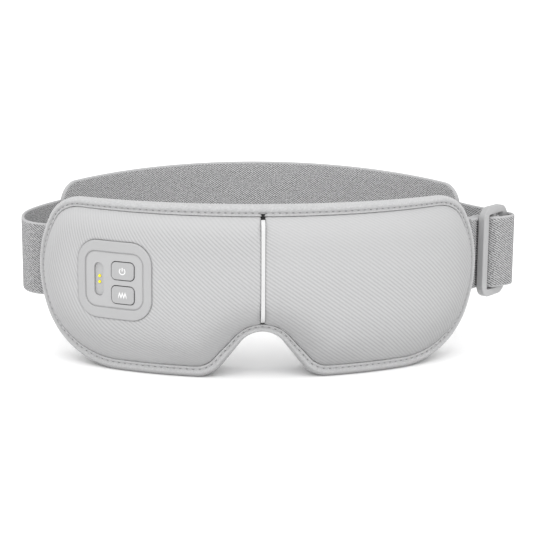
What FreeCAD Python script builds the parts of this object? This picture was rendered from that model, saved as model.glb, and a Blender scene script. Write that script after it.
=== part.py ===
import FreeCAD, Part
import os
from math import asin, atan2, cos, degrees, hypot, pi, radians, sin, sqrt, tan

from FreeCAD import Vector

# An eye massager: a curved padded mask on an elastic head strap, standing on its two lower lobes.
# Millimetres. X runs to the right of someone facing the front, Y runs back towards the head, Z is up.
# The origin is on the table, in the plane of symmetry, under the front of the rim at the nose.

# General fits
overrun = 5.0
fit_gap = 0.1
soft_gap = 0.3
run_gap = 0.05
straight_gap = 0.002

# Mask outline, seen from the front
mask_width = 210.0
mask_height = 81.0
top_corner_radius = 16.5
side_radius = 60.0
side_height_share = 0.5556
low_corner_radius = 36.0
lobe_radius = 15.5
lobe_foot = 31.0
nose_height = 22.2
nose_radius = 12.5

# Bend of the mask round the face: the rim seam lies on an upright cylinder
bend_radius = 147.0

# Rim: the flanges of the front covers and of the lining, held in a folded binding
binding_width = 4.8
binding_wall = 1.9
binding_round = 1.7
flange_inset = 1.0
cover_flange = 0.9
lining_flange = 1.0

# Front covers
dome_rise = 8.5
crown_drop = 3.0
cover_wall = 2.2
cover_round = 6.0
strip_width = 1.8
strip_proud = 0.25
strip_depth = 1.6

# Face side: lining, foam and eye hollows
face_depth = 20.5
lining_skin = 1.0
lining_round = 7.0
lining_top_drop = 4.5
pad_split = 8.0
eye_spacing = 66.0
eye_height_share = 0.531
eye_sphere = 40.0
eye_depth = 8.0

# Inner frames, one behind each front cover
frame_wall = 1.6
frame_front = 4.2
frame_inset = 7.4
frame_split = 14.0
post_radius = 2.2
post_side_offset = 89.5
post_top_offset = 23.0
post_top_share = 0.815
post_low_offset = 43.0
post_low_share = 0.204

# Heating films
film_width = 62.0
film_top_margin = 15.0
film_low_margin = 22.0
film_corner = 10.0
film_wall = 0.4
film_offset = 46.0

# Control unit on the wearer's right, which is on the left of the picture
control_offset = 68.7
control_height_share = 0.553
bezel_width = 38.4
bezel_height = 36.7
bezel_corner = 10.5
bezel_proud = 0.45
bezel_round = 0.7
bezel_side_bar = 4.05
bezel_end_bar = 5.05
panel_corner = 5.6
panel_sunk = 0.1
panel_wall = 2.0
panel_round = 0.9
housing_lip = 2.0
housing_lip_wall = 1.2
housing_wall = 1.2
housing_side_step = 1.4
housing_end_step = 2.35
housing_corner = 6.0
housing_floor = 1.2
board_wall = 1.2
board_gap = 0.5
board_front = 7.9
board_post_radius = 2.0
board_post_hole = 1.0
board_post_edge = 0.8
screw_radius = 0.9
screw_head_radius = 1.6
screw_head = 0.9
screw_length = 3.2
screw_slot = 0.5
screw_slot_depth = 0.4

# Buttons
button_width = 11.4
button_height = 8.2
button_corner = 2.1
button_gap = 0.4
button_land = 3.14
button_offset = 4.9
button_drop = 0.8
button_proud = 0.55
button_round = 0.4
button_lip = 0.9
button_lip_wall = 0.9
button_travel = 0.5
stem_radius = 1.6
symbol_raise = 0.04
symbol_depth = 0.4
symbol_stroke = 0.45
power_ring = 1.45
power_gap_angle = 35.0
wave_width = 4.2
wave_height = 2.0
wave_count = 3
switch_width = 5.2
switch_wall = 1.6
plunger_radius = 1.4
plunger_height = 0.5

# Magnetic charging port
port_width = 5.0
port_height = 15.8
port_offset = -7.7
port_sunk = 1.0
port_lip = 1.0
port_lip_wall = 1.0
contact_radius = 0.72
contact_spacing = 2.8
contact_proud = 0.4
magnet_radius = 1.7
magnet_length = 3.0
magnet_inset = 2.6
magnet_skin = 0.6

# Battery
cell_width = 36.0
cell_foot = 24.0
cell_wall = 5.0
cell_corner = 2.0
cell_angle = 27.0
cell_front = 5.6
tray_wall = 1.2
tray_lip = 2.6

# Vibration motors
motor_angle = 11.0
motor_radius = 3.5
motor_length = 16.0
motor_low_share = 0.494
motor_front = 3.6
shaft_radius = 0.5
shaft_sunk = 9.0
weight_radius = 2.9
weight_length = 4.5
weight_gap = 0.5
cradle_width = 10.0
cradle_height = 9.0
cradle_wrap = 1.4

# Flat cable from the control unit to the battery side
cable_wall = 0.4
cable_height = 4.6
cable_drop = 10.0
cable_gap = 1.2

# Head strap
strap_height = 35.7
strap_middle_share = 0.5753
strap_wall = 1.6
strap_lap = 16.0
band_height = 59.4
band_edge_height = 53.4
band_wall = 2.4
band_corner = 11.0
band_radius = 122.0
band_back = 154.0
band_end_left = 54.2
band_end_right = 59.6
left_root_out = 9.1
left_root_back = 16.0
left_root_heading = 285.0
left_tuck_radius = 10.0
left_tuck_heading = 345.0
tuck_length = 12.0

# Strap slider: two slots and a round middle bar that the mask's tab is sewn round
slider_out = 12.2
slider_back = 16.9
slider_yaw = 48.0
slider_width = 21.6
slider_height = 45.4
slider_wall = 3.8
slider_corner = 6.5
slider_side_bar = 4.7
slider_bar_radius = 1.5
slider_round = 0.6
slider_slot_gap = 0.9
slot_slope = 75.0
strap_fold_flare = 15.0
strap_bend_radius = 5.0
strap_bend_reach = 7.35
strap_leave = 129.5
tail_length = 9.0
tab_length = 15.0
tab_end_length = 12.0
tab_end_slope = 50.0

# Sizes and places worked out from the sizes above
axis = Vector(0, bend_radius, 0)
side_height = side_height_share * mask_height
eye_height = eye_height_share * mask_height
control_height = control_height_share * mask_height
motor_low = motor_low_share * mask_height
strap_middle = strap_middle_share * mask_height
film_height = mask_height - film_top_margin - film_low_margin
film_middle = film_low_margin + film_height / 2
panel_width = bezel_width - 2 * bezel_side_bar
panel_height = bezel_height - 2 * bezel_end_bar
housing_width = bezel_width - 2 * housing_side_step
housing_height = bezel_height - 2 * housing_end_step
button_spacing = button_height + button_land
magnet_spacing = port_height - 2 * magnet_inset
cover_seat = bend_radius + fit_gap / 2
lining_seat = bend_radius - fit_gap / 2
binding_slot_in = lining_seat - lining_flange - fit_gap
binding_slot_out = cover_seat + cover_flange + fit_gap
binding_in = binding_slot_in - binding_wall
binding_out = binding_slot_out + binding_wall
skirt_inset = binding_width + fit_gap
dome_radius = bend_radius + dome_rise
crown_half = mask_height / 2
crown_radius = (crown_half**2 + crown_drop**2) / (2 * crown_drop)
lining_front = binding_in - fit_gap
lining_back = bend_radius - face_depth
frame_radius = bend_radius - frame_front
film_radius = frame_radius - frame_wall - fit_gap
foam_front = film_radius - film_wall - fit_gap
control_angle = -degrees(asin(control_offset / dome_radius))
mask_end = mask_width / 2
mask_end_y = bend_radius - sqrt(bend_radius**2 - mask_end**2)
slider_x = mask_end + slider_out
slider_y = mask_end_y + slider_back
cable_middle = mask_height - cable_drop
cell_top = cable_middle - cable_height / 2 - cable_gap - tray_wall - soft_gap
cell_height = cell_top - cell_foot
cell_middle = (cell_top + cell_foot) / 2
front_y = -dome_rise
clear_height = mask_height + 2 * overrun


# Outline of the mask, drawn in the XZ plane. An inset outline runs parallel to the full one.
def spot(centre, radius, angle):
    return (centre[0] + radius * cos(angle), centre[1] + radius * sin(angle))


def front_arc(centre, radius, start, end):
    places = [spot(centre, radius, a) for a in (start, (start + end) / 2, end)]
    return Part.Arc(*[Vector(x, 0, z) for x, z in places]).toShape()


def front_line(start, end):
    return Part.makeLine(Vector(start[0], 0, start[1]), Vector(end[0], 0, end[1]))


def outline(inset):
    side = (mask_width / 2 - side_radius, side_height)
    top_z = mask_height - top_corner_radius
    top = (side[0] + sqrt((side_radius - top_corner_radius) ** 2 - (top_z - side[1]) ** 2), top_z)
    low_rise = side[1] - low_corner_radius
    low = (side[0] + sqrt((side_radius - low_corner_radius) ** 2 - low_rise**2), low_corner_radius)
    lobe = (lobe_foot, lobe_radius)
    nose = (0, nose_height - nose_radius)
    top_turn = atan2(top[1] - side[1], top[0] - side[0])
    low_turn = atan2(low[1] - side[1], low[0] - side[0])
    across = hypot(lobe[0] - nose[0], lobe[1] - nose[1])
    flank = atan2(lobe[1] - nose[1], lobe[0] - nose[0]) + pi / 2
    flank -= asin((lobe_radius + nose_radius) / across)
    lobe_r = lobe_radius - inset
    nose_r = nose_radius + inset
    half = [
        front_line((0, mask_height - inset), (top[0], mask_height - inset)),
        front_arc(top, top_corner_radius - inset, pi / 2, top_turn),
        front_arc(side, side_radius - inset, top_turn, low_turn),
        front_arc(low, low_corner_radius - inset, low_turn, -pi / 2),
        front_line((low[0], inset), (lobe[0], inset)),
        front_arc(lobe, lobe_r, -pi / 2, flank - pi),
        front_line(spot(lobe, lobe_r, flank - pi), spot(nose, nose_r, flank)),
        front_arc(nose, nose_r, flank, pi / 2),
    ]
    other = [edge.mirror(Vector(0, 0, 0), Vector(1, 0, 0)) for edge in half]
    return Part.Wire(Part.__sortEdges__(half + other))


def prism(inset):
    block = Part.Face(outline(inset)).extrude(Vector(0, bend_radius + dome_rise + overrun, 0))
    block.translate(Vector(0, front_y - overrun, 0))
    return block


# Upright round bodies about the axis of the bend
def disc(radius):
    return Part.makeCylinder(radius, clear_height, axis - Vector(0, 0, overrun))


def ring(inner, outer):
    return disc(outer).cut(disc(inner))


def barrel(proud):
    radius = crown_radius + proud
    reach = crown_half + overrun
    edge_x = dome_radius - crown_radius + sqrt(radius**2 - reach**2)
    low = Vector(edge_x, 0, crown_half - reach)
    middle = Vector(dome_radius + proud, 0, crown_half)
    high = Vector(edge_x, 0, crown_half + reach)
    foot = Vector(0, 0, crown_half - reach)
    head = Vector(0, 0, crown_half + reach)
    sides = [Part.makeLine(high, head), Part.makeLine(head, foot), Part.makeLine(foot, low)]
    profile = Part.Wire([Part.Arc(low, middle, high).toShape()] + sides)
    body = Part.Face(profile).revolve(Vector(0, 0, 0), Vector(0, 0, 1), 360)
    body.translate(axis)
    return body


def on_barrel(edge, proud):
    gaps = []
    for place in edge.discretize(Number=5):
        out = hypot(place.x, place.y - bend_radius) - (dome_radius - crown_radius)
        gaps.append(abs(hypot(out, place.z - crown_half) - crown_radius - proud))
    return max(gaps) < run_gap


def on_disc(edge, radius):
    gaps = [abs(hypot(p.x, p.y - bend_radius) - radius) for p in edge.discretize(Number=5)]
    return max(gaps) < run_gap


def sector(half_angle):
    reach = bend_radius * 2
    left = axis + Vector(-reach * sin(half_angle), -reach * cos(half_angle), 0)
    right = axis + Vector(reach * sin(half_angle), -reach * cos(half_angle), 0)
    wedge = Part.Face(Part.makePolygon([axis, left, right, axis])).extrude(Vector(0, 0, clear_height))
    wedge.translate(Vector(0, 0, -overrun))
    return wedge


def turned(shape, angle):
    copy = shape.copy()
    copy.rotate(axis, Vector(0, 0, 1), angle)
    return copy


def half_space(side, gap):
    block = Part.makeBox(mask_width, 2 * bend_radius, clear_height)
    shift = gap / 2 if side > 0 else -mask_width - gap / 2
    block.translate(Vector(shift, front_y - overrun, -overrun))
    return block


# Flat-lying blocks, made in front of the axis and then turned to their place
def box(width, height, front, back, z):
    block = Part.makeBox(width, back - front, height)
    block.translate(Vector(-width / 2, front, z - height / 2))
    return block


def edges_along_y(shape):
    return [e for e in shape.Edges if abs(e.tangentAt(e.FirstParameter).y) > cos(pi / 4)]


def rounded_box(width, height, corner, front, back, z):
    block = box(width, height, front, back, z)
    return block.makeFillet(corner, edges_along_y(block))


def rod(radius, front, back, x, z):
    return Part.makeCylinder(radius, back - front, Vector(x, front, z), Vector(0, 1, 0))


def front_edges(shape, place):
    return [e for e in shape.Edges if max(abs(p.y - place) for p in e.discretize(Number=5)) < run_gap]


# Straps: a path in plan, made of lines and tangent arcs, given a thickness and a height
class Path:
    def __init__(self, start, heading):
        self.place = start
        self.heading = radians(heading)
        self.sides = {1: [], -1: []}
        self.length = 0

    def beside(self, side, wall):
        off = side * wall / 2
        return Vector(self.place.x - off * sin(self.heading), self.place.y + off * cos(self.heading), 0)

    def line(self, length, wall):
        starts = {side: self.beside(side, wall) for side in self.sides}
        self.place = self.place + Vector(length * cos(self.heading), length * sin(self.heading), 0)
        for side, edges in self.sides.items():
            edges.append(Part.makeLine(starts[side], self.beside(side, wall)))
        self.length += length
        return self

    def turn(self, radius, angle, wall):
        way = 1 if angle > 0 else -1
        middle = self.beside(way, 2 * radius)
        stops = []
        first = self.heading
        for turn_share in (0, 0.5, 1):
            self.heading = first + radians(angle) * turn_share
            out = Vector(sin(self.heading), -cos(self.heading), 0) * (way * radius)
            self.place = middle + out
            stops.append({side: self.beside(side, wall) for side in self.sides})
        for side, edges in self.sides.items():
            edges.append(Part.Arc(*[stop[side] for stop in stops]).toShape())
        self.length += radius * radians(abs(angle))
        return self

    def arc_to(self, place, wall):
        chord = place - self.place
        aside = chord.y * cos(self.heading) - chord.x * sin(self.heading)
        ahead = chord.x * cos(self.heading) + chord.y * sin(self.heading)
        angle = 2 * atan2(aside, ahead)
        if abs(aside) < straight_gap:
            return self.line(chord.Length, wall)
        return self.turn(chord.Length / (2 * abs(sin(angle / 2))), degrees(angle), wall)

    # Two tangent arcs of like reach, which end at the place with the heading
    def ease_to(self, place, heading, wall):
        leave = Vector(cos(self.heading), sin(self.heading), 0)
        arrive = Vector(cos(radians(heading)), sin(radians(heading)), 0)
        across = place - self.place
        along = across.dot(leave + arrive)
        spread = 2 * (1 - leave.dot(arrive))
        reach = across.dot(across) / (along + sqrt(along**2 + spread * across.dot(across)))
        self.arc_to((self.place + place + (leave - arrive) * reach) * 0.5, wall)
        return self.arc_to(place, wall)

    def solid(self, low, height):
        left = self.sides[1]
        right = self.sides[-1]
        first = Part.makeLine(left[0].firstVertex().Point, right[0].firstVertex().Point)
        last = Part.makeLine(left[-1].lastVertex().Point, right[-1].lastVertex().Point)
        wire = Part.Wire(Part.__sortEdges__([first, last] + left + right))
        body = Part.Face(wire).extrude(Vector(0, 0, height))
        body.translate(Vector(0, 0, low))
        return body


def slider_place(along, out):
    yaw = radians(slider_yaw)
    x = slider_x + along * cos(yaw) + out * sin(yaw)
    y = slider_y + along * sin(yaw) - out * cos(yaw)
    return Vector(x, y, 0)


# Rim binding
def edge_binding():
    band = prism(0).cut(prism(binding_width)).common(ring(binding_in, binding_out))
    slot = prism(flange_inset - fit_gap).cut(prism(binding_width + overrun))
    band = band.cut(slot.common(ring(binding_slot_in, binding_slot_out)))
    outer = [e for e in band.Edges if on_disc(e, binding_in) or on_disc(e, binding_out)]
    return band.makeFillet(binding_round, outer)


# Front covers: a left and a right moulded shell with the centre strip between them
def cover_form(inset, proud, rounding):
    form = prism(inset).common(barrel(proud))
    return form.makeFillet(rounding, [e for e in form.Edges if on_barrel(e, proud)])


def whole_cover():
    outer = cover_form(skirt_inset, 0, cover_round)
    inner = cover_form(skirt_inset + cover_wall, -cover_wall, cover_round - cover_wall)
    shell = outer.cut(inner).cut(disc(cover_seat))
    flange = prism(flange_inset).cut(prism(skirt_inset + cover_wall))
    return shell.fuse(flange.common(ring(cover_seat, cover_seat + cover_flange))).removeSplitter()


def front_cover(side, cover):
    half = cover.common(half_space(side, strip_width + 2 * fit_gap))
    if side < 0:
        half = half.cut(control_block(bezel_width + 2 * fit_gap, bezel_height + 2 * fit_gap, bezel_corner))
    return half


def centre_strip():
    outer = cover_form(skirt_inset, strip_proud, cover_round)
    inner = cover_form(skirt_inset + strip_depth, -strip_depth, cover_round - strip_depth)
    bar = outer.cut(inner).cut(disc(binding_out))
    return bar.common(box(strip_width, clear_height, front_y - overrun, bend_radius, crown_half))


# Face side: the lining is a thin skin over two foam pads, with a hollow for each eye
def eye_ball(side, grow):
    across = lining_back + eye_depth - eye_sphere
    ball = Part.makeSphere(eye_sphere + grow, axis + Vector(0, -across, eye_height))
    return turned(ball, side * degrees(asin(eye_spacing / 2 / lining_back)))


def pad_ring(back, front, low, high, rounding):
    turn = rounding * (1 - cos(pi / 4))
    places = [
        [(front, low), (back + rounding, low)],
        [(back + rounding, low), (back + turn, low + turn), (back, low + rounding)],
        [(back, low + rounding), (back, high - rounding)],
        [(back, high - rounding), (back + turn, high - turn), (back + rounding, high)],
        [(back + rounding, high), (front, high)],
        [(front, high), (front, low)],
    ]
    edges = []
    for stretch in places:
        spots = [Vector(r, 0, z) for r, z in stretch]
        edges.append(Part.Arc(*spots).toShape() if len(spots) == 3 else Part.makeLine(*spots))
    body = Part.Face(Part.Wire(edges)).revolve(Vector(0, 0, 0), Vector(0, 0, 1), 360)
    body.translate(axis)
    return body


def pad_form(shrink, front):
    back = lining_back + shrink
    rounding = lining_round - shrink
    end = asin(mask_width / 2 / lining_front) - shrink / lining_front
    wedge = sector(end).common(ring(back, front))
    upright = [e for e in wedge.Edges if on_disc(e, back) and len(e.Vertexes) == 2]
    upright = [e for e in upright if abs(e.tangentAt(e.FirstParameter).z) > cos(pi / 4)]
    wedge = wedge.makeFillet(rounding, upright)
    high = mask_height - lining_top_drop - shrink
    form = prism(shrink).common(pad_ring(back, front, shrink, high, rounding)).common(wedge)
    return form.cut(eye_ball(1, shrink)).cut(eye_ball(-1, shrink))


def face_lining():
    skin = pad_form(0, lining_front).cut(pad_form(lining_skin, lining_front - lining_skin))
    skin = skin.cut(prism(skirt_inset + lining_skin).common(ring(foam_front, bend_radius)))
    neck = prism(skirt_inset).cut(prism(skirt_inset + lining_skin))
    neck = neck.common(ring(lining_front - lining_skin, lining_seat))
    flange = prism(flange_inset).cut(prism(skirt_inset + lining_skin))
    flange = flange.common(ring(lining_seat - lining_flange, lining_seat))
    return skin.fuse([neck, flange]).removeSplitter()


def foam_pad(side):
    return pad_form(lining_skin + fit_gap, foam_front).common(half_space(side, pad_split))


# Inner frames, with posts that hold the covers and, on the battery side, a tray
def post(offset, z):
    pin = rod(post_radius, front_y, frame_front + frame_wall / 2, 0, z)
    return turned(pin, degrees(asin(offset / bend_radius))).common(barrel(-cover_wall - fit_gap))


def inner_frame(side):
    plate = prism(frame_inset).common(ring(frame_radius - frame_wall, frame_radius))
    plate = plate.common(half_space(side, frame_split))
    places = [
        (post_side_offset, side_height),
        (post_top_offset, post_top_share * mask_height),
        (post_low_offset, post_low_share * mask_height),
    ]
    posts = [post(side * offset, z) for offset, z in places]
    if side > 0:
        posts.append(battery_tray())
    return plate.fuse(posts).removeSplitter()


def heating_film(side):
    patch = rounded_box(film_width, film_height, film_corner, front_y, bend_radius, film_middle)
    patch.translate(Vector(side * film_offset, 0, 0))
    return patch.common(ring(film_radius - film_wall, film_radius)).common(prism(frame_inset))


# Battery and its tray
cell_y = front_y + cell_front


def battery_cell():
    cell = box(cell_width, cell_height, cell_y, cell_y + cell_wall, cell_middle)
    return turned(cell.makeFillet(cell_corner, cell.Edges), cell_angle)


def battery_tray():
    room = 2 * soft_gap
    outer_width = cell_width + room + 2 * tray_wall
    outer_height = cell_height + room + 2 * tray_wall
    lip_y = cell_y + cell_wall - tray_lip
    outer = box(outer_width, outer_height, lip_y, bend_radius - frame_radius + frame_front, cell_middle)
    room_back = cell_y + cell_wall + fit_gap
    tray = outer.cut(box(cell_width + room, cell_height + room, lip_y - overrun, room_back, cell_middle))
    return turned(tray, cell_angle).cut(disc(frame_radius - frame_wall / 2))


# Control unit, made in front of the axis at the control height and turned into place
board_y = front_y + board_front
housing_back = frame_front - fit_gap
panel_front = -panel_sunk
panel_back = panel_front - panel_wall
panel_back_y = front_y - panel_back


def control_prism(width, height, corner):
    return rounded_box(width, height, corner, front_y - overrun, bend_radius, control_height)


def control_block(width, height, corner):
    return turned(control_prism(width, height, corner).common(barrel(overrun)), control_angle)


def rounded_front(shape, proud, rounding):
    return shape.makeFillet(rounding, [e for e in shape.Edges if on_barrel(e, proud)])


def control_bezel():
    frame = control_prism(bezel_width, bezel_height, bezel_corner)
    frame = frame.cut(control_prism(panel_width, panel_height, panel_corner))
    frame = frame.common(barrel(bezel_proud)).cut(barrel(-cover_wall))
    return turned(rounded_front(frame, bezel_proud, bezel_round), control_angle)


def port_prism(grow):
    width = port_width + 2 * grow
    height = port_height + 2 * grow
    block = rounded_box(width, height, width / 2 - run_gap, front_y - overrun, bend_radius, control_height)
    block.translate(Vector(port_offset, 0, 0))
    return block


def button_place(way):
    return control_height - button_drop + way * button_spacing / 2


def button_prism(way, grow):
    width = button_width + 2 * grow
    height = button_height + 2 * grow
    z = button_place(way)
    block = rounded_box(width, height, button_corner + grow, front_y - overrun, bend_radius, z)
    block.translate(Vector(button_offset, 0, 0))
    return block


def control_panel():
    width = panel_width - 2 * fit_gap
    height = panel_height - 2 * fit_gap
    plate = control_prism(width, height, panel_corner - fit_gap)
    plate = plate.common(barrel(panel_front)).cut(barrel(panel_back))
    plate = rounded_front(plate, panel_front, panel_round)
    holes = [button_prism(1, button_gap), button_prism(-1, button_gap), port_prism(0)]
    return turned(plate.cut(holes[0]).cut(holes[1]).cut(holes[2]), control_angle)


def board_places():
    edge = board_post_radius + board_post_edge
    across = board_width() / 2 - edge
    up = board_height() / 2 - edge
    return [(x * across, control_height + z * up) for x in (-1, 1) for z in (-1, 1)]


def board_width():
    return housing_width - 2 * housing_wall - 2 * board_gap


def board_height():
    return housing_height - 2 * housing_wall - 2 * board_gap


def control_housing():
    lip_front = -cover_wall - fit_gap
    lip_width = bezel_width + 2 * housing_lip
    lip_height = bezel_height + 2 * housing_lip
    lip = control_prism(lip_width, lip_height, bezel_corner + housing_lip)
    lip = lip.common(barrel(lip_front)).cut(barrel(lip_front - housing_lip_wall))
    tub = control_prism(housing_width, housing_height, housing_corner).common(barrel(lip_front))
    tub = tub.common(box(mask_width, clear_height, front_y, housing_back, control_height))
    room_width = housing_width - 2 * housing_wall
    room_height = housing_height - 2 * housing_wall
    room_corner = housing_corner - housing_wall
    room_back = housing_back - housing_floor
    room = rounded_box(room_width, room_height, room_corner, front_y - overrun, room_back, control_height)
    body = lip.fuse(tub).cut(room)
    for x, z in board_places():
        pin = rod(board_post_radius, board_y + board_wall + fit_gap, housing_back - housing_floor / 2, x, z)
        hole_back = board_y + screw_length + fit_gap
        body = body.fuse(pin).cut(rod(board_post_hole, board_y, hole_back, x, z))
    return turned(body.removeSplitter(), control_angle)


def control_board():
    corner = housing_corner - housing_wall - board_gap
    board = rounded_box(board_width(), board_height(), corner, board_y, board_y + board_wall, control_height)
    for x, z in board_places():
        board = board.cut(rod(board_post_hole, board_y - overrun, board_y + overrun, x, z))
    return turned(board, control_angle)


def board_screws():
    screws = []
    for x, z in board_places():
        head_y = board_y - screw_head
        screw = rod(screw_head_radius, head_y, board_y, x, z)
        screw = screw.fuse(rod(screw_radius, board_y, board_y + screw_length, x, z))
        for across, up in ((screw_head_radius, screw_slot / 2), (screw_slot / 2, screw_head_radius)):
            slot = box(2 * across, 2 * up, head_y, head_y + screw_slot_depth, z)
            slot.translate(Vector(x, 0, 0))
            screw = screw.cut(slot)
        screws.append(turned(screw, control_angle))
    return Part.makeCompound(screws)


def tact_switches():
    switches = []
    for way in (1, -1):
        z = button_place(way)
        body = box(switch_width, switch_width, board_y - switch_wall, board_y, z)
        body.translate(Vector(button_offset, 0, 0))
        top = board_y - switch_wall
        body = body.fuse(rod(plunger_radius, top - plunger_height, top, button_offset, z))
        switches.append(turned(body, control_angle))
    return Part.makeCompound(switches)


def button(way, symbol):
    z = button_place(way)
    cap = button_prism(way, 0).common(barrel(panel_front + button_proud)).cut(barrel(panel_back - fit_gap))
    cap = rounded_front(cap, panel_front + button_proud, button_round)
    lip_front = panel_back - fit_gap
    lip = button_prism(way, button_lip).common(barrel(lip_front)).cut(barrel(lip_front - button_lip_wall))
    lip_back_y = panel_back_y + fit_gap + button_lip_wall / 2
    stem_end = board_y - switch_wall - plunger_height - button_travel - fit_gap
    stem = rod(stem_radius, lip_back_y, stem_end, button_offset, z)
    body = cap.fuse([lip, stem]).cut(symbol.common(barrel(overrun)))
    return body.removeSplitter()


# Raised signs on the buttons: a standby ring with its bar, and a plain zigzag for vibration
def sign_slab(shape):
    low = panel_front + button_proud - symbol_depth
    return shape.common(barrel(low + symbol_depth + symbol_raise)).cut(barrel(low))


def power_sign():
    z = button_place(1)
    deep = (front_y - overrun, 0)
    hoop = rod(power_ring + symbol_stroke / 2, *deep, button_offset, z)
    hoop = hoop.cut(rod(power_ring - symbol_stroke / 2, *deep, button_offset, z))
    reach = 2 * power_ring
    spread = reach * tan(radians(power_gap_angle))
    corners = [Vector(0, 0, 0), Vector(-spread, 0, reach), Vector(spread, 0, reach), Vector(0, 0, 0)]
    notch = Part.Face(Part.makePolygon(corners)).extrude(Vector(0, overrun + dome_rise, 0))
    notch.translate(Vector(button_offset, front_y - overrun, z))
    bar = box(symbol_stroke, power_ring + symbol_stroke / 2, *deep, z + power_ring / 2 + symbol_stroke / 4)
    bar.translate(Vector(button_offset, 0, 0))
    return hoop.cut(notch).fuse(bar)


def wave_sign():
    z = button_place(-1)
    step = wave_width / (2 * wave_count)
    up = wave_height / 2
    line = [(i * step - wave_width / 2, up if i % 2 else -up) for i in range(2 * wave_count + 1)]
    slope = hypot(step, wave_height) / step * symbol_stroke / 2
    above = [Vector(x, 0, y + slope) for x, y in line]
    below = [Vector(x, 0, y - slope) for x, y in reversed(line)]
    face = Part.Face(Part.makePolygon(above + below + above[:1]))
    sign = face.extrude(Vector(0, overrun + dome_rise, 0))
    sign.translate(Vector(button_offset, front_y - overrun, z))
    return sign


# Charging port: an insert behind the slot, two contacts and two magnets
port_front = panel_front - port_sunk
port_front_y = front_y - port_front


def contact_places():
    return [control_height + way * contact_spacing / 2 for way in (1, -1)]


def magnet_places():
    return [control_height + way * magnet_spacing / 2 for way in (1, -1)]


def charge_port():
    nose = port_prism(-fit_gap).common(barrel(port_front)).cut(barrel(panel_back - port_lip_wall))
    lip = port_prism(port_lip).common(barrel(panel_back - fit_gap))
    lip = lip.common(box(mask_width, clear_height, front_y, board_y - fit_gap, control_height))
    body = nose.fuse(lip)
    for z in contact_places():
        body = body.cut(rod(contact_radius + run_gap, front_y - overrun, board_y, port_offset, z))
    for z in magnet_places():
        magnet_back = port_front_y + magnet_skin + magnet_length
        body = body.cut(rod(magnet_radius + run_gap, port_front_y + magnet_skin, magnet_back, port_offset, z))
        body = body.cut(rod(magnet_radius + run_gap, magnet_back - fit_gap, board_y, port_offset, z))
    return turned(body.removeSplitter(), control_angle)


def charge_contacts():
    pins = []
    for z in contact_places():
        pin = rod(contact_radius, port_front_y - contact_proud, board_y - fit_gap / 2, port_offset, z)
        tip = front_edges(pin, port_front_y - contact_proud)
        pins.append(turned(pin.makeFillet(contact_proud, tip), control_angle))
    return Part.makeCompound(pins)


def charge_magnets():
    front = port_front_y + magnet_skin + run_gap
    discs = [rod(magnet_radius, front, front + magnet_length, port_offset, z) for z in magnet_places()]
    return Part.makeCompound([turned(magnet, control_angle) for magnet in discs])


# Vibration motors, upright in their cradles, each with an off-centre weight on its shaft
motor_y = front_y + motor_front + motor_radius
motor_top = motor_low + motor_length
cradle_low = motor_low + (motor_length - cradle_height) / 2


def motor_place(z):
    return Vector(0, motor_y, z)


def motor_can(side):
    can = Part.makeCylinder(motor_radius, motor_length, motor_place(motor_low))
    can = can.makeFillet(shaft_radius, [e for e in can.Edges if e.Closed])
    bore = Part.makeCylinder(shaft_radius + run_gap, shaft_sunk, motor_place(motor_top - shaft_sunk))
    return turned(can.cut(bore), side * motor_angle)


def motor_rotor(side):
    shaft_low = motor_top - shaft_sunk + weight_gap
    shaft_high = motor_top + weight_gap + weight_length
    shaft = Part.makeCylinder(shaft_radius, shaft_high - shaft_low, motor_place(shaft_low))
    seat = motor_place(motor_top + weight_gap)
    weight = Part.makeCylinder(weight_radius, weight_length, seat, Vector(0, 0, 1), 180)
    boss = Part.makeCylinder(2 * shaft_radius, weight_length, seat)
    return turned(shaft.fuse([weight, boss]).removeSplitter(), side * motor_angle)


def motor_cradle(side):
    middle = cradle_low + cradle_height / 2
    block = box(cradle_width, cradle_height, motor_y - cradle_wrap, bend_radius, middle)
    block = block.cut(Part.makeCylinder(motor_radius + run_gap, clear_height, motor_place(0)))
    return turned(block.cut(disc(frame_radius + run_gap)), side * motor_angle)


# Flat cable lying on the inner frames, across the nose
def bridge_cable():
    ribbon = ring(frame_radius + run_gap, frame_radius + run_gap + cable_wall)
    ribbon = ribbon.common(box(mask_width, cable_height, front_y, bend_radius, cable_middle))
    end = radians(min(abs(control_angle), cell_angle))
    return ribbon.common(sector(end))


# Head strap
strap_low = strap_middle - strap_height / 2
band_middle = Vector(0, band_back - band_radius, 0)
lap_radius = band_radius + band_wall / 2 + run_gap + strap_wall / 2
lap_angle = degrees(strap_lap / lap_radius)
band_reach_left = band_radius * sin(radians(band_end_left))
band_reach_right = band_radius * sin(radians(band_end_right))


def band_place(radius, angle):
    return band_middle + Vector(radius * cos(radians(angle)), radius * sin(radians(angle)), 0)


def back_band():
    path = Path(band_place(band_radius, 90 - band_end_right), 180 - band_end_right)
    path.turn(band_radius, band_end_left + band_end_right, band_wall)
    strip = path.solid(strap_middle - band_height, 2 * band_height)
    left = -band_reach_left - band_wall
    right = band_reach_right + band_wall
    arcs = []
    ends = []
    for way in (1, -1):
        edge_z = strap_middle + way * band_edge_height / 2
        corners = [Vector(x, 0, edge_z) for x in (left, right)]
        crest = Vector((left + right) / 2, 0, strap_middle + way * band_height / 2)
        arcs.append(Part.Arc(corners[0], crest, corners[1]).toShape())
        ends.append(corners)
    sides = [Part.makeLine(low, high) for low, high in zip(*ends)]
    face = Part.Face(Part.Wire(Part.__sortEdges__(arcs + sides)))
    block = face.extrude(Vector(0, 2 * bend_radius, 0))
    return strip.common(block.makeFillet(band_corner, edges_along_y(block)))


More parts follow.
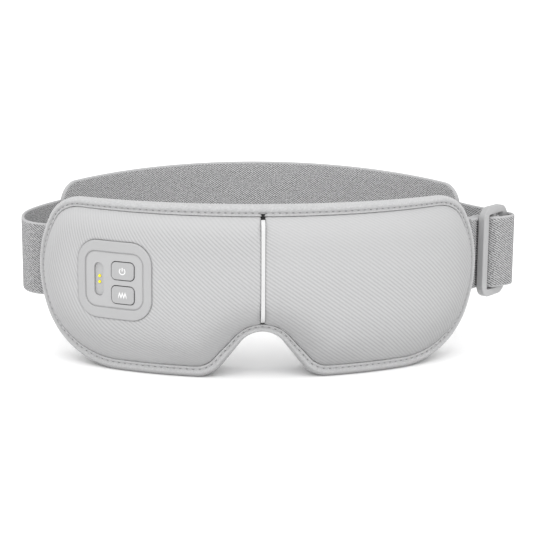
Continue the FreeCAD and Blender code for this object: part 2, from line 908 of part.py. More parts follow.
def strap_left():
    start = 90 + band_end_left - lap_angle
    path = Path(band_place(lap_radius, start), start + 90)
    path.turn(lap_radius, lap_angle, strap_wall)
    root = Vector(-mask_end - left_root_out, mask_end_y + left_root_back, 0)
    path.ease_to(root, left_root_heading, strap_wall)
    path.turn(left_tuck_radius, left_tuck_heading - left_root_heading, strap_wall)
    path.line(tuck_length, strap_wall)
    return path.solid(strap_low, strap_height)


# Layers at the slider, counted from the middle bar outwards and from the side bar inwards
loop_radius = slider_bar_radius + fit_gap + strap_wall / 2
layer_step = strap_wall + soft_gap
front_layer = loop_radius + layer_step
tail_layer = slider_wall / 2 + soft_gap + strap_wall / 2
tab_layer = tail_layer + layer_step
tab_end_layer = tab_layer + strap_wall + fit_gap


def slope_run(rise, radii, slope):
    return (rise - radii * (1 - cos(slope))) / sin(slope)


def slot_reach(radii, run, slope):
    return radii * sin(slope) + run * cos(slope)


slot_angle = radians(slot_slope)
slot_radii = loop_radius + front_layer
slot_run = slope_run(front_layer + tail_layer, slot_radii, slot_angle)


def strap_right():
    reach = slot_reach(slot_radii, slot_run, slot_angle)
    path = Path(slider_place(-reach - tail_length, -tail_layer), slider_yaw)
    path.line(tail_length, strap_wall)
    path.turn(loop_radius, -slot_slope, strap_wall)
    path.line(slot_run, strap_wall)
    path.turn(front_layer, slot_slope - strap_fold_flare, strap_wall)
    path.line(strap_bend_reach, strap_wall)
    path.turn(strap_bend_radius, strap_leave - slider_yaw + strap_fold_flare, strap_wall)
    path.ease_to(band_place(lap_radius, 90 - band_end_right), 180 - band_end_right, strap_wall)
    path.turn(lap_radius, lap_angle, strap_wall)
    return path.solid(strap_low, strap_height)


def strap_tab():
    run = slope_run(loop_radius + tab_layer, slot_radii, slot_angle)
    reach = slot_reach(slot_radii, run, slot_angle)
    path = Path(slider_place(-reach - tab_length, -tab_layer), slider_yaw)
    path.line(tab_length, strap_wall)
    path.turn(front_layer, -slot_slope, strap_wall)
    path.line(run, strap_wall)
    path.turn(loop_radius, slot_slope, strap_wall)
    path.turn(loop_radius, 180, strap_wall)
    end_angle = radians(tab_end_slope)
    end_radii = loop_radius + strap_wall
    drop = slope_run(tab_end_layer - loop_radius, end_radii, end_angle)
    path.turn(strap_wall, -tab_end_slope, strap_wall)
    path.line(drop, strap_wall)
    path.turn(loop_radius, tab_end_slope, strap_wall)
    path.line(tab_end_length, strap_wall)
    return path.solid(strap_low, strap_height)


def strap_slider():
    half = slider_width / 2
    deep = (-slider_wall / 2, slider_wall / 2)
    plate = rounded_box(slider_width, slider_height, slider_corner, *deep, strap_middle)
    window = slider_width - 2 * slider_side_bar
    window_height = strap_height + 2 * slider_slot_gap
    plate = plate.cut(box(window, window_height, -half, half, strap_middle))
    plate = plate.makeFillet(slider_round, plate.Edges)
    bar_low = strap_middle - window_height / 2 - slider_side_bar / 2
    bar = Part.makeCylinder(slider_bar_radius, window_height + slider_side_bar, Vector(0, 0, bar_low))
    frame = plate.fuse(bar).removeSplitter()
    frame.rotate(Vector(0, 0, 0), Vector(0, 0, 1), slider_yaw)
    frame.translate(Vector(slider_x, slider_y, 0))
    return frame


# Build every node
def build():
    cover = whole_cover()
    signs = {1: power_sign(), -1: wave_sign()}
    lining = face_lining()
    lining_body = pad_form(0, lining_front)
    nodes = {
        "edge_binding": edge_binding(),
        "cover_left": front_cover(-1, cover),
        "cover_right": front_cover(1, cover),
        "centre_strip": centre_strip(),
        "face_lining": lining,
        "foam_pad_left": foam_pad(-1),
        "foam_pad_right": foam_pad(1),
        "inner_frame_left": inner_frame(-1),
        "inner_frame_right": inner_frame(1),
        "heating_film_left": heating_film(-1),
        "heating_film_right": heating_film(1),
        "battery_cell": battery_cell(),
        "control_bezel": control_bezel(),
        "control_panel": control_panel(),
        "control_housing": control_housing(),
        "control_board": control_board(),
        "board_screws": board_screws(),
        "tact_switches": tact_switches(),
        "power_button": turned(button(1, sign_slab(signs[1])), control_angle),
        "mode_button": turned(button(-1, sign_slab(signs[-1])), control_angle),
        "power_symbol": turned(sign_slab(signs[1]), control_angle),
        "mode_symbol": turned(sign_slab(signs[-1]), control_angle),
        "charge_port": charge_port(),
        "charge_contacts": charge_contacts(),
        "charge_magnets": charge_magnets(),
        "motor_left": motor_can(-1),
        "motor_right": motor_can(1),
        "motor_rotor_left": motor_rotor(-1),
        "motor_rotor_right": motor_rotor(1),
        "motor_cradle_left": motor_cradle(-1),
        "motor_cradle_right": motor_cradle(1),
        "bridge_cable": bridge_cable(),
        "back_band": back_band(),
        "strap_left": strap_left().cut(lining_body),
        "strap_right": strap_right(),
        "strap_tab": strap_tab().cut(lining_body),
        "strap_slider": strap_slider(),
    }
    return nodes


os.makedirs("parts", exist_ok=True)
for name, shape in build().items():
    shape.exportStep(os.path.join("parts", name + ".step"))
    kinds = [solid.isValid() for solid in shape.Solids]
    print(name, len(kinds), all(kinds), round(shape.Volume), shape.BoundBox)
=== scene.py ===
from math import asin, atan2, cos, hypot, pi, radians, sin, sqrt, tau

import bpy
import numpy as np
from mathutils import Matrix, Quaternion, Vector
from mathutils.geometry import delaunay_2d_cdt


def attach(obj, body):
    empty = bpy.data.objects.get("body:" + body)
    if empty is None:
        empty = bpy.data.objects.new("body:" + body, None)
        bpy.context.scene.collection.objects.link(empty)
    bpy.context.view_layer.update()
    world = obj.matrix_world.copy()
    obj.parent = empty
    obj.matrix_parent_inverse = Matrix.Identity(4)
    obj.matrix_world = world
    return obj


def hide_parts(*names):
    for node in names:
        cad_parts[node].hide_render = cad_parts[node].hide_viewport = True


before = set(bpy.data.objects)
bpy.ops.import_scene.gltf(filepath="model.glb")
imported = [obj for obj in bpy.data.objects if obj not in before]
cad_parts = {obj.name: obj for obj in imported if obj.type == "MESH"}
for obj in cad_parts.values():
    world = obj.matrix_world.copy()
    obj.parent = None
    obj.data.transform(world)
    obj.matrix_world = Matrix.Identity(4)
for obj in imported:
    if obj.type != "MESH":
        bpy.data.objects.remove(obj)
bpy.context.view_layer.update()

bl_info = {
    "name": "Eye massager",
    "version": (1, 0, 0),
    "blender": (4, 5, 0),
    "location": "View3D > Sidebar > Massager",
    "description": "Cloth, padding, straps and finishes of a strap-on eye massager, round its packed solids",
    "category": "Object",
}

# Fixed sizes in metres, where the note says nothing else
MM = 0.001
PER_METRE = 1000
FINE_STEP = 0.0004  # between points of lines that depths are measured from
WIDE_STEP = 0.002  # between points of lines that bound a net or a gasket
LOW_RIM = 0.014  # height below which the binding widens
NOSE_LOW, NOSE_RISE, NOSE_REACH = 0.010, 0.010, 0.03  # where the binding narrows round the nose
CORNER_POINTS = 15  # points of a rounded corner
CHUNK = 400  # points measured at a time
WELD = 1e-5  # millimetres within which two points are one
RUN_GAP, FIT_GAP, SOFT_GAP = 0.00005, 0.0001, 0.0003  # between layers of strap and slider
STRAIGHT = 0.002  # turn in radians below which an arc is a straight run
COARSEST_TURN = radians(7)  # between points of a tight turn
CLOTH_SHARP, PADDING_SHARP, TRIM_SHARP = radians(60), radians(70), radians(40)

# Front cloth: rows of points in millimetres, in from the crease, beside the centre strip and round the pod
CREASE_ROWS = (0.1, 0.25, 0.5, 0.9, 1.4, 2.0, 2.7, 3.5, 4.4, 5.4)
STRIP_ROWS = (0, 0.15, 0.35, 0.7, 1.2)
POD_ROWS = (0.2, 0.5, 0.9, 1.4, 2.0)
CLOTH_STEP, CLOTH_NET, CLOTH_WALL = 0.0011, 0.0017, 0.0012
NET_MARGIN, STRIP_MARGIN, POD_MARGIN = 0.0010, 0.0006, 0.0026  # kept free of loose points
STRIP_STEP = 0.0012
CREASE_WELD = 0.00008  # depth that counts as the crease itself
SHOULDER_POWER = 0.6
STRIP_DIP, STRIP_DIP_WIDTH, STRIP_DIP_POWER = 0.0004, 0.0011, 2.5
POD_DIP, POD_DIP_WIDTH = 0.0005, 0.0012

# Rim: its front half in millimetres, as inset from the edge and height out of the seam
RIM_SECTION = (
    (4.3, 0.3), (4.4, 1.4), (4.4, 2.0), (4.3, 2.42), (4.12, 2.66), (3.9, 2.74), (3.66, 2.64),
    (3.46, 2.38), (3.28, 2.16), (3.1, 2.08), (2.92, 2.16), (2.74, 2.5), (2.5, 2.82), (2.2, 3.06),
    (1.8, 3.18), (1.4, 3.12), (1.0, 2.84), (0.6, 2.34), (0.28, 1.68), (0.08, 0.85), (0.0, 0.0),
)
RIM_BACK_SHARE = 0.95  # the back half's height against the front's
RIM_STEP, RIM_STITCH_STEP = 0.0009, 0.0005
RIM_STITCHES = ((2.08, 1), (-1.98, -1))  # millimetres out of the seam, and which way is out

# Face padding: rows in millimetres in from the rim, then its profile and its seams
LINING_ROWS = (0, 0.25, 0.6, 1.1, 1.8, 2.6, 3.6, 4.8, 6.2, 7.8, 9.5)
LINING_STEP, LINING_NET, LINING_MARGIN = 0.0016, 0.0021, 0.0012
LINING_WELD, ROW_WELD = 0.00012, 0.00001  # depth that counts as the rim, and distance that counts as a row
LINING_FRONT, LINING_LIP = 0.0032, 0.0006
LINING_ROUND, LINING_POWER = 0.0095, 2.3
LINING_WALL, LINING_WALL_REACH = 0.0032, 0.006
HOLLOW_SOFT, HOLLOW_SEAM, NOSE_SEAM = 0.0016, 0.0005, 0.0006
NOSE_SEAM_INSET, SEAM_RISE = 0.006, 0.0005

# Straps and trim: shares, but for the step and the profile of inset and height of the black piece that paints
# shade at the centre strip's end
FALL_POWER = 4
LAP_SEAMS = (0.15, 0.8)
HEM_SHARE = 0.54
STITCH_SHARE = 0.6
BAND_STEP = 0.0008
GAP_SHADE_SHARES = (0.1, 0.9)
STITCH_RISE, STITCH_DIVE, STITCH_TIP = 0.9, 1.7, 0.12  # bow of a stitch in thread radii, and its thinnest
END_SHADE_ROWS, END_SHADE_COLUMNS, END_SHADE_POWER = 17, 7, 1.6
END_SHADE_INSETS = (0.0029, 0.0035, 0.0039, 0.0045, 0.0050, 0.0056)
END_SHADE_HEIGHTS = (0.0024, 0.0028, 0.0030, 0.0030, 0.0031, 0.0038)


# Settings
def length(name, description, default):
    return bpy.props.FloatProperty(
        name=name, description=description, default=default, precision=5, unit="LENGTH", subtype="DISTANCE"
    )


def turn(name, description, degrees):
    return bpy.props.FloatProperty(
        name=name, description=description, default=radians(degrees), unit="ROTATION", subtype="ANGLE"
    )


def number(name, description, default):
    return bpy.props.FloatProperty(name=name, description=description, default=default, precision=4)


def colour(name, description, *default):
    return bpy.props.FloatVectorProperty(
        name=name, description=description, default=default, size=3, min=0, max=1, subtype="COLOR"
    )


class MaskSizes(bpy.types.PropertyGroup):
    """Sizes of the mask: its rim, front, lining and control pod"""

    width: length("Width", "Across the rim, seen from the front", 0.210)
    height: length("Height", "From the table to the top of the rim", 0.081)
    top_corner: length("Top corner", "Radius of the rim's top corners", 0.0165)
    side_radius: length("Side radius", "Radius of the rim's ends", 0.060)
    side_height: length("Side height", "Height of the ends' middle", 0.045)
    low_corner: length("Low corner", "Radius of the rim's lower corners", 0.036)
    lobe_radius: length("Lobe radius", "Radius of the lobes beside the nose", 0.0155)
    lobe_foot: length("Lobe foot", "From the middle to the lobe's centre", 0.031)
    nose_height: length("Nose height", "Height of the nose arch", 0.0222)
    nose_radius: length("Nose radius", "Radius of the nose arch", 0.0125)
    top_crown: length("Top crown", "How far the soft rim's top rises in its middle", 0.0010)
    crown_reach: length("Crown reach", "From the middle to where that rise begins", 0.084)
    low_widen: number("Low widening", "How much wider the binding is along the table", 0.2)
    nose_narrow: number("Nose narrowing", "How much narrower the binding is round the nose", 0.12)
    bend: length("Bend", "Radius of the rim's bend round the face", 0.147)
    dome_rise: length("Dome rise", "How far the front stands out of the rim", 0.0085)
    crown_drop: length("Crown drop", "Fall of the front from its middle to its edges", 0.003)
    rim_reach: length("Rim reach", "Radius at which the rim's round edge reaches furthest across", 0.1487)
    crease: length("Crease", "From the rim's edge to the crease of the front, along the bend", 0.00455)
    crease_rise: length("Crease rise", "How far the cloth's edge stands out of the rim seam", 0.0021)
    shoulder: length("Shoulder", "Width of the front's rounded edge", 0.014)
    strip_gap: length("Strip gap", "Half the width left for the centre strip", 0.0010)
    face_depth: length("Face depth", "From the rim seam to the back of the lining", 0.0205)
    lining_drop: length("Lining drop", "From the rim's top to the lining's top", 0.0045)
    eye_spacing: length("Eye spacing", "Between the eye hollows", 0.066)
    eye_height: length("Eye height", "Height of the eye hollows", 0.043)
    eye_ball: length("Eye ball", "Radius of the hollows' ball", 0.040)
    eye_depth: length("Eye depth", "Depth of the hollows", 0.008)
    pod_offset: length("Pod offset", "From the middle to the control pod", 0.0687)
    pod_height: length("Pod height", "Height of the control pod's middle", 0.04479)
    pod_width: length("Pod opening width", "Width of the front's opening for the pod", 0.0386)
    pod_rise: length("Pod opening height", "Height of the front's opening for the pod", 0.0369)
    pod_corner: length("Pod opening corner", "Corner radius of that opening", 0.0106)
    button_width: length("Button width", "Width of a button", 0.0114)
    button_rise: length("Button height", "Height of a button", 0.0082)
    button_corner: length("Button corner", "Corner radius of a button", 0.0021)
    button_gap: length("Button gap", "Gap round a button", 0.0004)
    button_offset: length("Button offset", "From the pod's middle to the buttons, across", 0.0049)
    button_drop: length("Button drop", "From the pod's middle down to the buttons' middle", 0.0008)
    button_spacing: length("Button spacing", "From button to button", 0.01134)
    panel_width: length("Panel width", "Width of the pod's inner plate", 0.0303)
    panel_rise: length("Panel height", "Height of the pod's inner plate", 0.0266)
    panel_corner: length("Panel corner", "Corner radius of that plate", 0.0056)
    # Painted shade: width of the grey ring that fills the groove round the plate
    groove_shade_reach: length("Seal reach", "Width of the seal in the groove round that plate", 0.0006)
    # Painted shade: these two set the black rings sunk in the buttons' gaps and the grey ring in the plate's
    # groove
    shade_ring_sunk: length("Gasket sunk", "From the front's crown down to the gaskets", 0.0003)
    shade_ring_wall: length("Gasket wall", "Thickness of the gaskets", 0.0006)
    # Painted shade: sizes of the black waisted piece at the strip's top end, where there is only a dark gap
    end_shade_top: length("Clip top", "From the rim's edge to the upper end of the strip's clip", 0.0031)
    end_shade_long: length("Clip length", "Length of the strip's clip", 0.0024)
    end_shade_width: length("Clip width", "Half the width of the clip's ends", 0.0011)
    end_shade_waist: length("Clip waist", "Half the width of the clip's middle", 0.00045)
    end_shade_wall: length("Clip wall", "Thickness of the clip", 0.0004)
    stitch_inset: length("Stitch inset", "From the rim's edge to the stitch line", 0.0031)
    stitch_pitch: length("Stitch pitch", "From stitch to stitch along the rim", 0.0031)
    stitch_length: length("Stitch length", "Length of one stitch", 0.0012)
    stitch_thread: length("Stitch thread", "Radius of the thread", 0.00021)


class StrapSizes(bpy.types.PropertyGroup):
    """Sizes of the head strap"""

    height: length("Strap height", "Width of the webbing", 0.0357)
    middle: length("Strap middle", "Height of the strap's middle line", 0.0466)
    wall: length("Strap wall", "Thickness of the webbing", 0.0016)
    lap: length("Lap", "Length of strap sewn on the band", 0.016)
    band_height: length("Band height", "Height of the back band in its middle", 0.0594)
    band_edge: length("Band edge height", "Height of the back band near its ends", 0.0534)
    band_wall: length("Band wall", "Thickness of the back band", 0.0024)
    band_corner: length("Band corner", "Corner radius of the band's ends", 0.011)
    band_radius: length("Band radius", "Radius of the band's curve", 0.122)
    band_back: length("Band back", "From the rim to the back of the band", 0.154)
    band_left: turn("Band left", "Turn of the band to its left end", 54.2)
    band_right: turn("Band right", "Turn of the band to its right end", 59.6)
    root_x: length("Left root across", "Where the left strap nears the rim, across", -0.1141)
    root_y: length("Left root back", "Where the left strap nears the rim, back", 0.06012)
    root_turn: turn("Left root heading", "Heading of the left strap there", 285)
    tuck_radius: length("Tuck radius", "Radius where the strap turns into the mask", 0.010)
    tuck_turn: turn("Tuck turn", "Turn of the strap into the mask", 60)
    tuck: length("Tuck", "Length of strap behind the rim", 0.012)
    left_fall: length("Left fall", "How far the left strap falls from the band to the mask", 0.0020)
    slider_x: length("Slider across", "Place of the slider's middle bar, across", 0.1172)
    slider_y: length("Slider back", "Place of the slider's middle bar, back", 0.06102)
    slider_yaw: turn("Slider yaw", "Turn of the slider in plan", 48)
    slider_wall: length("Slider wall", "Thickness of the slider", 0.0038)
    slider_bar: length("Slider bar", "Radius of the slider's middle bar", 0.0015)
    slot_slope: turn("Slot slope", "Slope of the strap in the slider's slots", 75)
    fold_flare: turn("Fold flare", "How far the strap stands off the slider before that fold", 15)
    fold_radius: length("Fold radius", "Radius of the strap's fold beside the slider", 0.005)
    fold_reach: length("Fold reach", "From the middle bar to that fold", 0.00735)
    leave: turn("Leave", "Heading of the strap from that fold to the band", 129.5)
    tail: length("Tail", "Length of the strap's loose tail", 0.009)
    tab: length("Tab", "Length of the mask's tab", 0.018)
    tab_end: length("Tab end", "Length of the tab's sewn-down end", 0.012)
    tab_slope: turn("Tab end slope", "Slope of the tab's end where it closes its loop", 50)
    seam_margin: length("Seam margin", "From the webbing's edge to its seams", 0.0014)
    seam_pitch: length("Seam pitch", "From stitch to stitch of those seams", 0.0026)
    seam_thread: length("Seam thread", "Radius of their thread", 0.0002)
    hem_pitch: length("Hem pitch", "From stitch to stitch of the hem beside the slider", 0.0012)
    hem_thread: length("Hem thread", "Radius of that hem's thread", 0.0004)


class Finishes(bpy.types.PropertyGroup):
    """Colours and the sizes of weaves"""

    front: colour("Front cloth", "Ribbed cloth of the front", 0.410, 0.410, 0.413)
    front_groove: colour("Front grooves", "Cloth between the ribs", 0.315, 0.315, 0.318)
    felt: colour("Binding", "Felt of the rim", 0.425, 0.425, 0.428)
    felt_dark: colour("Binding, dark fibres", "Darker fibres of the felt", 0.335, 0.335, 0.338)
    thread: colour("Thread", "Sewing thread of the rim", 0.21, 0.21, 0.212)
    seam: colour("Seam", "Dark thread beside the slider", 0.03, 0.03, 0.03)
    lining: colour("Lining", "Knit of the face side", 0.34, 0.34, 0.345)
    strap: colour("Strap", "Light yarn of the straps", 0.43, 0.43, 0.434)
    strap_dark: colour("Strap, dark yarn", "Dark yarn of the straps", 0.10, 0.10, 0.102)
    band: colour("Band", "Light yarn of the back band", 0.48, 0.48, 0.484)
    band_dark: colour("Band, dark yarn", "Dark yarn of the back band", 0.12, 0.12, 0.122)
    selvedge: colour("Selvedge", "Edges of the webbing", 0.40, 0.40, 0.404)
    bezel: colour("Bezel", "Frame of the pod", 0.345, 0.345, 0.348)
    panel: colour("Panel", "Inner plate of the pod", 0.36, 0.36, 0.363)
    button: colour("Buttons", "Caps of the buttons", 0.335, 0.335, 0.338)
    slider: colour("Slider", "Strap slider", 0.315, 0.315, 0.318)
    rib_pitch: length("Rib pitch", "From rib to rib of the front cloth", 0.0015)
    weave_pitch: length("Weave pitch", "From ridge to ridge of the webbing", 0.00095)


class StudioSizes(bpy.types.PropertyGroup):
    """Floor, light and camera"""

    floor: length("Floor", "Side of the floor", 40.0)
    floor_grey: colour("Floor colour", "Pale floor", 0.95, 0.95, 0.95)
    sky: number("Sky", "Strength of the even light", 0.85)
    sun: number("Sun", "Strength of the large soft light above the front", 2.7)
    sun_height: turn("Sun height", "Height of that light above the horizon", 55)
    sun_side: turn("Sun side", "Turn of that light to the left of the front", 4)
    sun_spread: turn("Sun spread", "How wide that light is", 110)
    azimuth: turn("Camera azimuth", "Turn of the camera round the part", -2.8)
    elevation: turn("Camera elevation", "Height of the camera above the horizon", 13)
    roll: turn("Camera roll", "Turn of the camera about its line of sight", 0.35)
    distance: length("Camera distance", "From the camera to its aim", 0.8)
    aim: bpy.props.FloatVectorProperty(
        name="Aim", description="Point that the camera looks at", default=(0.00377, 0.0397, 0.04374), size=3
    )
    lens: number("Lens", "Focal length for a 36 mm sensor", 111.85)


class MassagerSettings(bpy.types.PropertyGroup):
    """All settings of the eye massager"""

    mask: bpy.props.PointerProperty(type=MaskSizes, name="Mask", description="Sizes of the mask")
    strap: bpy.props.PointerProperty(type=StrapSizes, name="Strap", description="Sizes of the head strap")
    look: bpy.props.PointerProperty(type=Finishes, name="Finishes", description="Colours and weaves")
    studio: bpy.props.PointerProperty(type=StudioSizes, name="Studio", description="Floor, light and camera")


# Shader maths
class Field:
    """A shader socket that takes part in Python sums. One with no socket stands for its node tree."""

    def __init__(self, tree, socket=None):
        self.tree = tree
        self.socket = socket

    def node(self, kind, settings, inputs, out=0):
        made = self.tree.nodes.new(kind)
        for name, value in settings.items():
            setattr(made, name, value)
        for key, value in inputs.items():
            if isinstance(value, Field):
                self.tree.links.new(value.socket, made.inputs[key])
            else:
                made.inputs[key].default_value = value
        return Field(self.tree, made.outputs[out])

    def out(self, name):
        return Field(self.tree, self.socket.node.outputs[name])

    def math(self, operation, *values):
        return self.node("ShaderNodeMath", {"operation": operation}, dict(enumerate(values)))

    def __add__(self, other):
        return self.math("ADD", self, other)

    __radd__ = __add__

    def __sub__(self, other):
        return self.math("SUBTRACT", self, other)

    def __rsub__(self, other):
        return self.math("SUBTRACT", other, self)

    def __mul__(self, other):
        return self.math("MULTIPLY", self, other)

    __rmul__ = __mul__

    def __truediv__(self, other):
        return self.math("DIVIDE", self, other)

    def wave(self):
        """Sine of the field, counted in whole turns, from 0 to 1"""
        turns = self * tau
        return 0.5 + 0.5 * turns.math("SINE", turns)

    def size(self):
        return self.math("ABSOLUTE", self)

    def step(self, low, high):
        """0 below low and 1 above high, with a smooth rise between them"""
        settings = {"interpolation_type": "SMOOTHSTEP"}
        return self.node("ShaderNodeMapRange", settings, {0: self, 1: low, 2: high, 3: 0.0, 4: 1.0})

    def mix(self, low, high):
        """A colour between low and high, by this field"""
        colours = [c if isinstance(c, Field) else (*c, 1.0) for c in (low, high)]
        inputs = {0: self, 6: colours[0], 7: colours[1]}
        return self.node("ShaderNodeMix", {"data_type": "RGBA"}, inputs, 2)

    def noise(self, place, scale, detail=2.0, rough=0.5):
        inputs = {"Vector": place, "Scale": scale, "Detail": detail, "Roughness": rough}
        return self.node("ShaderNodeTexNoise", {}, inputs, "Fac")

    def place(self):
        return self.node("ShaderNodeTexCoord", {}, {}, "Object")

    def parts(self, name):
        """The three numbers of a mesh attribute"""
        vector = self.node("ShaderNodeAttribute", {"attribute_name": name}, {}, "Vector")
        split = self.node("ShaderNodeSeparateXYZ", {}, {0: vector})
        return split, split.out("Y"), split.out("Z")

    def stretch(self, across, up, deep):
        return self.node("ShaderNodeCombineXYZ", {}, {0: across, 1: up, 2: deep})


def new_finish(name, fixed=None):
    made = bpy.data.materials.new(name)
    made.use_nodes = True
    shader = made.node_tree.nodes["Principled BSDF"]
    for socket, value in (fixed or {}).items():
        shader.inputs[socket].default_value = value
    return made, Field(made.node_tree)


def soft_finish(name, sheen, rough):
    """A cloth's material, with some sheen and little gloss"""
    return new_finish(name, {"Sheen Weight": sheen, "Sheen Roughness": rough, "Specular IOR Level": 0.2})


def tint(shade, share):
    return [min(1, c * share) for c in shade]


def dress(made, varied, height=None, depth=0.0):
    """Links or sets the shader's colour, roughness and the like, and a bump of the given depth"""
    tree = made.node_tree
    shader = tree.nodes["Principled BSDF"]
    inputs = dict(varied)
    if height is not None:
        bump = {"Strength": 1.0, "Distance": depth, "Height": height}
        inputs["Normal"] = Field(tree).node("ShaderNodeBump", {}, bump, "Normal")
    for socket, value in inputs.items():
        if isinstance(value, Field):
            tree.links.new(value.socket, shader.inputs[socket])
        elif socket == "Base Color":
            shader.inputs[socket].default_value = (*value, 1.0)
        else:
            shader.inputs[socket].default_value = value
    return made


def ribbed_cloth(look):
    """Diagonal ribs, fainter near the crease and towards the upper right, with painted shade that darkens the
    cloth towards the bottom, near the crease, at the right end and by the nose. Edge and up are in
    millimetres, across in metres.
    """
    made, start = soft_finish("ribbed_cloth", 0.05, 0.5)
    phase, edge, up = start.parts("rib")
    fuzz = start.noise(start.place(), 1100.0, 3.0, 0.6)
    cloud = start.noise(start.place(), 60.0, 2.0)
    ridge = (phase + 0.12 * cloud).wave()
    across = start.node("ShaderNodeSeparateXYZ", {}, {0: start.place()})
    right, far = across.step(0.0, 0.01), across.size()
    # Ribs fainter near the crease and towards the upper right, in colour and in bump; the colour fade towards
    # the upper right is a painted highlight
    rib_strength = 0.35 + 0.4 * right + (0.65 - 0.4 * right) * edge.step(1.0, 11.0)
    rib_strength = rib_strength * (1 - 0.55 * right * up.step(40.0, 72.0))
    groove = (1 - ridge).step(0.2, 1.0) * rib_strength
    # Painted shade: low darkens the cloth towards the bottom, rim near the crease, end at the right end and
    # nose round the nose arch
    low = 0.35 * (1 - up.step(6.0, 40.0))
    rim = 0.3 * (1 - edge.step(4.0, 26.0)) * (1 - 0.7 * up.step(50.0, 72.0))
    end = 0.18 * right * far.step(0.06, 0.1)
    nose = 0.55 * (1 - edge.step(1.0, 15.0)) * (1 - up.step(24.0, 46.0)) * (1 - far.step(0.02, 0.06))
    base = (groove * 0.75 + 0.4 * fuzz - 0.2).mix(look.front, look.front_groove)
    # Painted shade: the colour is multiplied down to 0.77 of itself where those marks add up
    painted_shade = {0: low + rim + end + nose, 6: base, 7: (0.77, 0.77, 0.77, 1.0)}
    base = start.node("ShaderNodeMix", {"data_type": "RGBA", "blend_type": "MULTIPLY"}, painted_shade, 2)
    height = ridge * rib_strength + fuzz * 0.25
    return dress(made, {"Base Color": base, "Roughness": 0.75 + 0.15 * fuzz}, height, 0.00010)


def rim_felt(look):
    made, start = soft_finish("rim_felt", 0.25, 0.6)
    along, inset, out = start.parts("rim")
    fibre = start.noise(start.stretch(along, inset * 1.6, out * 1.6), 1.1, 4.0, 0.65)
    cross = start.noise(start.stretch(along + inset, (inset - along) * 0.35, out), 1.5, 2.0)
    mixed = fibre * 0.6 + cross * 0.4
    height = start.node("ShaderNodeSeparateXYZ", {}, {0: start.place()}, "Z")
    # Painted shade: the felt's outer roll darkens towards the table, up to 0.7 of the way to a darker tone of
    # its dark fibres
    painted_shade_low = (1 - inset.step(0.2, 2.6)) * (1 - height.step(0.008, 0.034))
    base = mixed.step(0.35, 0.68).mix(look.felt_dark, look.felt)
    base = (painted_shade_low * 0.7).mix(base, tint(look.felt_dark, 0.6))
    return dress(made, {"Base Color": base, "Roughness": 0.85 + 0.1 * fibre}, mixed, 0.00022)


def sewing_thread(name, shade):
    made, start = new_finish(name, {"Specular IOR Level": 0.3})
    twist = start.noise(start.place(), 2600.0, 2.0)
    base = twist.mix(tint(shade, 0.75), tint(shade, 1.2))
    return dress(made, {"Base Color": base, "Roughness": 0.6 + 0.2 * twist}, twist, 0.00008)


def face_knit(look):
    made, start = soft_finish("face_knit", 0.3, 0.5)
    across, up, _ = start.parts("knit")
    rows = (up / 1.3).wave()
    wales = (across / 1.1 + 0.5 * rows).wave()
    loops = rows * wales
    fuzz = start.noise(start.place(), 1200.0, 2.0)
    shade = loops * 0.6 + fuzz * 0.4
    base = shade.step(0.1, 0.8).mix(tint(look.lining, 0.78), tint(look.lining, 1.15))
    return dress(made, {"Base Color": base, "Roughness": 0.85 + 0.1 * fuzz}, shade, 0.00025)


def webbing(look, name, light, dark, lean, speckle):
    """Twill webbing of mixed yarns with smooth pale selvedges, leaning both ways or mostly one way"""
    made, start = soft_finish(name, 0.05, 0.5)
    along, up, edge = start.parts("web")
    pitch = look.weave_pitch * PER_METRE
    yarn = start.noise(start.stretch(along * 1.3, up * 1.3, 0.0), 1.0, 3.0, 0.7)
    run, rise, stray = along * 0.57, up * 0.82, 0.9 * yarn
    twill = ((run + rise) / pitch + stray).wave()
    cross = ((run - rise) / pitch + stray).wave()
    weave = twill * lean + cross * (1 - lean)
    shade = (weave * (1 - speckle) + yarn.step(0.32, 0.68) * speckle).step(0.22, 0.72)
    cloth = shade.mix(dark, light)
    border = 1 - edge.step(0.7, 1.0)
    selvedge = (yarn * 0.5 + 0.5 * (along / 0.9).wave()).mix(tint(look.selvedge, 0.8), look.selvedge)
    base = border.mix(cloth, selvedge)
    height = weave * (1 - border) + border * 0.8
    return dress(made, {"Base Color": base, "Roughness": 0.78 + 0.15 * yarn}, height, 0.0002)


def moulded(name, shade, rough, grain=0.00002, fixed=None, metallic=None):
    """Moulded or plated surface: fine grain, a little unevenness in colour and gloss"""
    made, start = new_finish(name, fixed)
    fine = start.noise(start.place(), 3500.0, 2.0)
    broad = start.noise(start.place(), 60.0, 3.0)
    base = (fine * 0.5 + broad * 0.5).mix(tint(shade, 0.95), tint(shade, 1.04))
    varied = {"Base Color": base, "Roughness": rough - 0.04 + 0.08 * broad}
    if metallic is not None:
        varied["Metallic"] = metallic
    return dress(made, varied, fine, grain)


# Meshes
def new_piece(name, points, faces, finish, fields=None, sharp=None):
    """An object from points in metres, with its finish and the fields that the finish reads"""
    mesh = bpy.data.meshes.new(name)
    mesh.from_pydata([tuple(p) for p in points], [], faces)
    mesh.validate()
    mesh.shade_smooth()
    if sharp is not None:
        mesh.set_sharp_from_angle(angle=sharp)
    for field, values in (fields or {}).items():
        held = mesh.attributes.new(field, "FLOAT_VECTOR", "POINT")
        held.data.foreach_set("vector", np.asarray(values, np.float32).ravel())
    mesh.materials.append(finish)
    piece = bpy.data.objects.new(name, mesh)
    bpy.context.scene.collection.objects.link(piece)
    return piece


def set_piece(piece, body, slot, *nodes):
    """Rides the piece on its body, in place of the named solids"""
    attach(piece, body)
    if nodes:
        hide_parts(*nodes)
    return piece


def dress_nodes(rows):
    """Gives each finish to its solids"""
    for finish, names in rows:
        for name in names:
            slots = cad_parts[name].data.materials
            slots.clear()
            slots.append(finish)


def distances(points):
    """Distance along a line of points to each of them"""
    return np.concatenate(([0], np.cumsum(np.linalg.norm(np.diff(points, axis=0), axis=1))))


